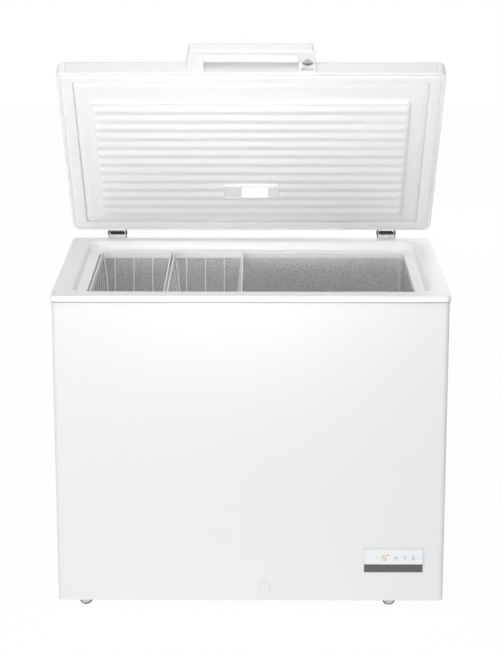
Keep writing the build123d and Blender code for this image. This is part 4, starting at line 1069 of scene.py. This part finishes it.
# ======== Control panel ========
BEZEL = 3 * mm  # frame round the window and the strip
BEZEL_FACE = 2 * mm  # heights are from the casing's front, towards the viewer
BEZEL_BACK = -1 * mm
BED = 0.8 * mm
PANE_BACK = 0.7 * mm
PANE_FACE = 1.9 * mm
HIGHLIGHT_BAR_FACE = 1.95 * mm
MARK_BACK = 1.85 * mm
MARK_FACE = 1.98 * mm
STRIP_H = 20 * mm
HIGHLIGHT_BAR_H = 2 * mm
bezel_low, bezel_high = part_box("control_bezel")
panel_x = (bezel_low.x + bezel_high.x) / 2
panel_z = (bezel_low.z + bezel_high.z) / 2
half_w = (bezel_high.x - bezel_low.x) / 2
half_h = (bezel_high.z - bezel_low.z) / 2
casing_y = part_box("outer_casing")[0].y
FACING = Matrix.Translation((panel_x, casing_y, panel_z)) @ Matrix.Rotation(math.pi / 2, 4, "X")


def on_front(piece):
    """Turn a piece drawn flat, with its height towards the viewer, onto the front at the panel."""
    piece.data.transform(FACING)
    return piece


def panel_level(inset, radius, height):
    """Return the panel's outline about its middle, drawn in on every side."""
    return (inset - half_w, half_w - inset, inset - half_h, half_h - inset, radius, height)


rim_profile = bend(
    [
        panel_level(0, 4 * mm, BEZEL_BACK), panel_level(0, 4 * mm, BEZEL_FACE),
        panel_level(BEZEL - 0.4 * mm, 2.5 * mm, BEZEL_FACE),
        panel_level(BEZEL - 0.4 * mm, 2.5 * mm, BED),
        panel_level(30 * mm, 1 * mm, BED), panel_level(30 * mm, 1 * mm, BEZEL_BACK),
    ],
    [0, 1, 0.5, 0, 0, 0], closed=True,
)
panel_grey = moulded_white("panel_grey", 0.3, FINE_GRAIN, (0.74, 0.75, 0.76))
place(on_front(weighted(loft("panel_frame", rim_profile, True))), "cabinet", "white_moulding",
      "control_bezel", finish=panel_grey)
inner_w = half_w - BEZEL
inner_h = half_h - BEZEL
strip_top = STRIP_H - inner_h


def pane(name, foot, head, face, radius):
    """Make a plate across the inside of the bezel, between two levels."""
    return on_front(rounded_box(name, (-inner_w, foot, PANE_BACK), (inner_w, head, face), radius))


window = pane("panel_window", strip_top + HIGHLIGHT_BAR_H, inner_h, PANE_FACE, 0.5 * mm)
place(window, "cabinet", "white_panel", "display_window")
strip = pane("panel_strip_plate", -inner_h, strip_top, PANE_FACE, 0.6 * mm)
place(strip, "cabinet", "dark_panel", "panel_strip")
# Painted highlight: a white bar between the window and the dark strip stands in for the bright line along the
# strip's top edge.
highlight_bar = pane(
    "panel_highlight_bar", strip_top + 0.1 * mm, strip_top + HIGHLIGHT_BAR_H - 0.1 * mm, HIGHLIGHT_BAR_FACE, 0.3 * mm
)
place(highlight_bar, "cabinet", "white_moulding")

# ======== Display ========
STROKE = 1 * mm
LIME_STROKE = 1.5 * mm
AMBER_STROKE = 2.2 * mm
DIGIT_FOOT = 1.5 * mm
DIGIT_H = 11 * mm
SNOW_AT = (6 * mm, 7 * mm)
SNOW_R = 4.5 * mm


def strokes(name, lines, width):
    """Draw square-ended strokes, each between two points, standing just proud of the window."""
    bars = []
    for start, end in lines:
        start, end = Vector(start), Vector(end)
        along = (end - start).normalized() * width / 2
        across = Vector((-along.y, along.x))
        outline_points = [start - along + across, start - along - across,
                          end + along - across, end + along + across]
        points = [(point.x, point.y, z) for z in (MARK_BACK, MARK_FACE) for point in outline_points]
        faces = [(3, 2, 1, 0), (4, 5, 6, 7), (0, 1, 5, 4), (1, 2, 6, 5), (2, 3, 7, 6), (3, 0, 4, 7)]
        bars.append(shape("stroke", points, faces))
    return on_front(joined(name, bars))


def chain(*points):
    """Return the strokes that join points in turn."""
    return list(zip(points, points[1:]))


def ring(centre, radius, count=12):
    """Return the strokes of a small circle."""
    return chain(*(
        (centre[0] + radius * math.cos(2 * math.pi * k / count),
         centre[1] + radius * math.sin(2 * math.pi * k / count)) for k in range(count + 1)
    ))


amber = display_ink("amber_digit", (0.93, 0.44, 0.14), 0.08)
lime = display_ink("lime_digit", (0.62, 0.74, 0.34), 0.05)
grey_ink = display_ink("grey_marks", (0.30, 0.31, 0.32), 0.0)
middle, head = DIGIT_FOOT + DIGIT_H / 2, DIGIT_FOOT + DIGIT_H
ones = []
for x in (-37 * mm, -28.5 * mm):
    ones += chain((x, head), (x, middle), (x, DIGIT_FOOT))
place(strokes("lime_digit", ones, LIME_STROKE), "cabinet", "white_panel", finish=lime)
left, right = -25.5 * mm, -18.5 * mm
five = chain((right, head), (left, head), (left, middle), (right, middle), (right, DIGIT_FOOT),
             (left, DIGIT_FOOT))
place(strokes("amber_digit", five, AMBER_STROKE), "cabinet", "white_panel", finish=amber)
# Grey marks: a small ring, a snowflake, a ring on a stem, a ring over two bars, and a dot
marks = ring((-13 * mm, 14.5 * mm), 1.4 * mm, 8)
for angle in (math.pi / 6, math.pi / 2, 5 * math.pi / 6):
    reach_x, reach_z = SNOW_R * math.cos(angle), SNOW_R * math.sin(angle)
    marks.append(((SNOW_AT[0] - reach_x, SNOW_AT[1] - reach_z),
                  (SNOW_AT[0] + reach_x, SNOW_AT[1] + reach_z)))
marks += ring((28 * mm, 9 * mm), 3 * mm) + chain((28 * mm, 2.6 * mm), (28 * mm, 6 * mm))
marks += ring((48 * mm, 10.5 * mm), 2.2 * mm)
for left, right, up in ((42.5, 53.5, 2.8), (45, 51, 6), (58.5, 58.8, 7)):
    marks += chain((left * mm, up * mm), (right * mm, up * mm))
place(strokes("display_marks", marks, STROKE), "cabinet", "white_panel", finish=grey_ink)

# ======== Drain cap ========
AXIS_R = 0.5 * mm  # the small flats on the axis, front and back
DISH = 1.5 * mm  # depth of the dish in the cap's face
RIM_IN = 3.4 * mm  # the rim round the dish, from the cap's side
SHANK_R = 7.9 * mm
SHANK = 14 * mm  # its length
cap_low, cap_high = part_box("drain_cap")
cap_at = ((cap_low.x + cap_high.x) / 2, (cap_low.z + cap_high.z) / 2)
cap_r = (cap_high.x - cap_low.x) / 2


def turned(name, profile, steps=48):
    """Turn a profile about the drain cap's axis: its last two sizes are radius and height."""
    points, faces = [], []
    for *_, radius, height in profile:
        for k in range(steps):
            angle = 2 * math.pi * k / steps
            points.append((
                cap_at[0] + radius * math.cos(angle), cap_low.y + height,
                cap_at[1] + radius * math.sin(angle),
            ))
    for row in range(len(profile) - 1):
        here, above = row * steps, (row + 1) * steps
        for k in range(steps):
            beside = (k + 1) % steps
            faces.append((here + k, here + beside, above + beside, above + k))
    faces.append(tuple(range(steps)))
    faces.append(tuple(range(len(points) - steps, len(points))))
    return shape(name, points, faces)


cap_depth = cap_high.y - cap_low.y
shank_from = cap_depth - SHANK
cap_corners = [
    (AXIS_R, DISH), (cap_r - RIM_IN - 0.8 * mm, DISH), (cap_r - RIM_IN, 0), (cap_r - 0.6 * mm, 0),
    (cap_r, 1.2 * mm), (cap_r - 0.2 * mm, shank_from), (SHANK_R, shank_from),
    (SHANK_R, cap_depth), (AXIS_R, cap_depth),
]
cap_profile = bend(
    [(-radius, radius, radius, height) for radius, height in cap_corners],
    [0, 0.6, 0.6, 0.8, 0.4, 0, 0, 0, 0],
)
place(weighted(turned("drain_knob", cap_profile)), "drain_cap", "white_moulding", "drain_cap",
      finish=moulded_white("cap_white", 0.45, white=SHADED_WHITE))

# ======== Stage, light and camera ========
FLOOR_HALF = 7.0
FLOOR_WHITE = 0.96  # how far the camera sees the floor as plain white
FLOOR_LIGHT = 0.3  # what the floor gives off for everything else
PURE_WHITE = (1.0, 1.0, 1.0, 1.0)


def stage_white():
    """Pale floor that the camera sees as nearly white, with only a faint shadow left on it."""
    coat = Finish("stage_white")
    ray = coat.add("ShaderNodeLightPath", output="Is Camera Ray")
    diffuse = coat.add("ShaderNodeBsdfDiffuse", inputs={"Color": (0.9, 0.9, 0.9, 1.0)})
    dim = coat.add("ShaderNodeEmission", inputs={"Color": PURE_WHITE, "Strength": FLOOR_LIGHT})
    lit = coat.add("ShaderNodeAddShader", inputs=[diffuse, dim])
    glow = coat.add("ShaderNodeEmission", inputs={"Color": PURE_WHITE, "Strength": 1.0})
    shader = coat.add("ShaderNodeMixShader", inputs=[ray * FLOOR_WHITE, lit, glow])
    coat.add("ShaderNodeOutputMaterial", inputs={"Surface": shader})
    return coat.material


corners = [(-1, -1), (1, -1), (1, 1), (-1, 1)]
floor = plain("floor", [(x * FLOOR_HALF, y * FLOOR_HALF, 0) for x, y in corners], [(0, 1, 2, 3)])
floor.data.materials.append(stage_white())

# The sky is plain white to the camera and in reflections, and lights the rest dimly.
AMBIENT = 0.27
world = bpy.data.worlds.new("studio")
bpy.context.scene.world = world
sky = Nodes(world)
seen, *others = (
    sky.add("ShaderNodeLightPath", output=f"Is {kind} Ray")
    for kind in ("Camera", "Glossy", "Transmission")
)
for ray in others:
    seen = seen.math("MAXIMUM", ray)
strength = sky.add("ShaderNodeMapRange", inputs={"Value": seen, "To Min": AMBIENT, "To Max": 1.0})
glow = sky.add("ShaderNodeBackground", inputs={"Color": PURE_WHITE, "Strength": strength})
sky.add("ShaderNodeOutputWorld", inputs={"Surface": glow})


def softbox(name, spot, aim, size, watts, spread=180.0):
    """Add a square area lamp aimed at a point, with its light kept within a spread."""
    lamp = bpy.data.lights.new(name, "AREA")
    lamp.size = size
    lamp.energy = watts
    lamp.spread = math.radians(spread)
    holder = stand(name, lamp)
    holder.location = spot
    holder.rotation_euler = (Vector(aim) - Vector(spot)).to_track_quat("-Z", "Y").to_euler()


softbox("key", (-2.2, -2.6, 1.6), (0.0, 0.0, 0.6), 1.6, 21.0)
softbox("low", (-0.6, -6.0, 0.85), (0.0, 0.0, 0.8), 1.4, 69.0)
softbox("lid", (-0.2, -3.6, 1.2), (0.0, 0.2, 1.06), 0.5, 0.5, spread=19.0)
softbox("back", (1.2, 4.2, 1.4), (0.0, 0.0, 0.6), 1.6, 22.0)
softbox("top", (0.0, -1.5, 3.0), (0.0, 0.0, 0.8), 1.6, 30.0)

SENSOR = 36.0
FOCAL_LENGTH = 103.4
SHIFT = -0.15
CAMERA_AT = (0.023, -4.5775, 1.960)
PITCH = math.radians(13.29)
YAW = math.radians(-0.31)
eye = bpy.data.cameras.new("camera")
eye.sensor_width = SENSOR
eye.lens = FOCAL_LENGTH
eye.shift_y = SHIFT
camera = stand("camera", eye)
camera.location = CAMERA_AT
camera.rotation_euler = (math.pi / 2 - PITCH, 0.0, -YAW)
bpy.context.scene.camera = camera
bpy.context.scene.view_settings.view_transform = "Standard"
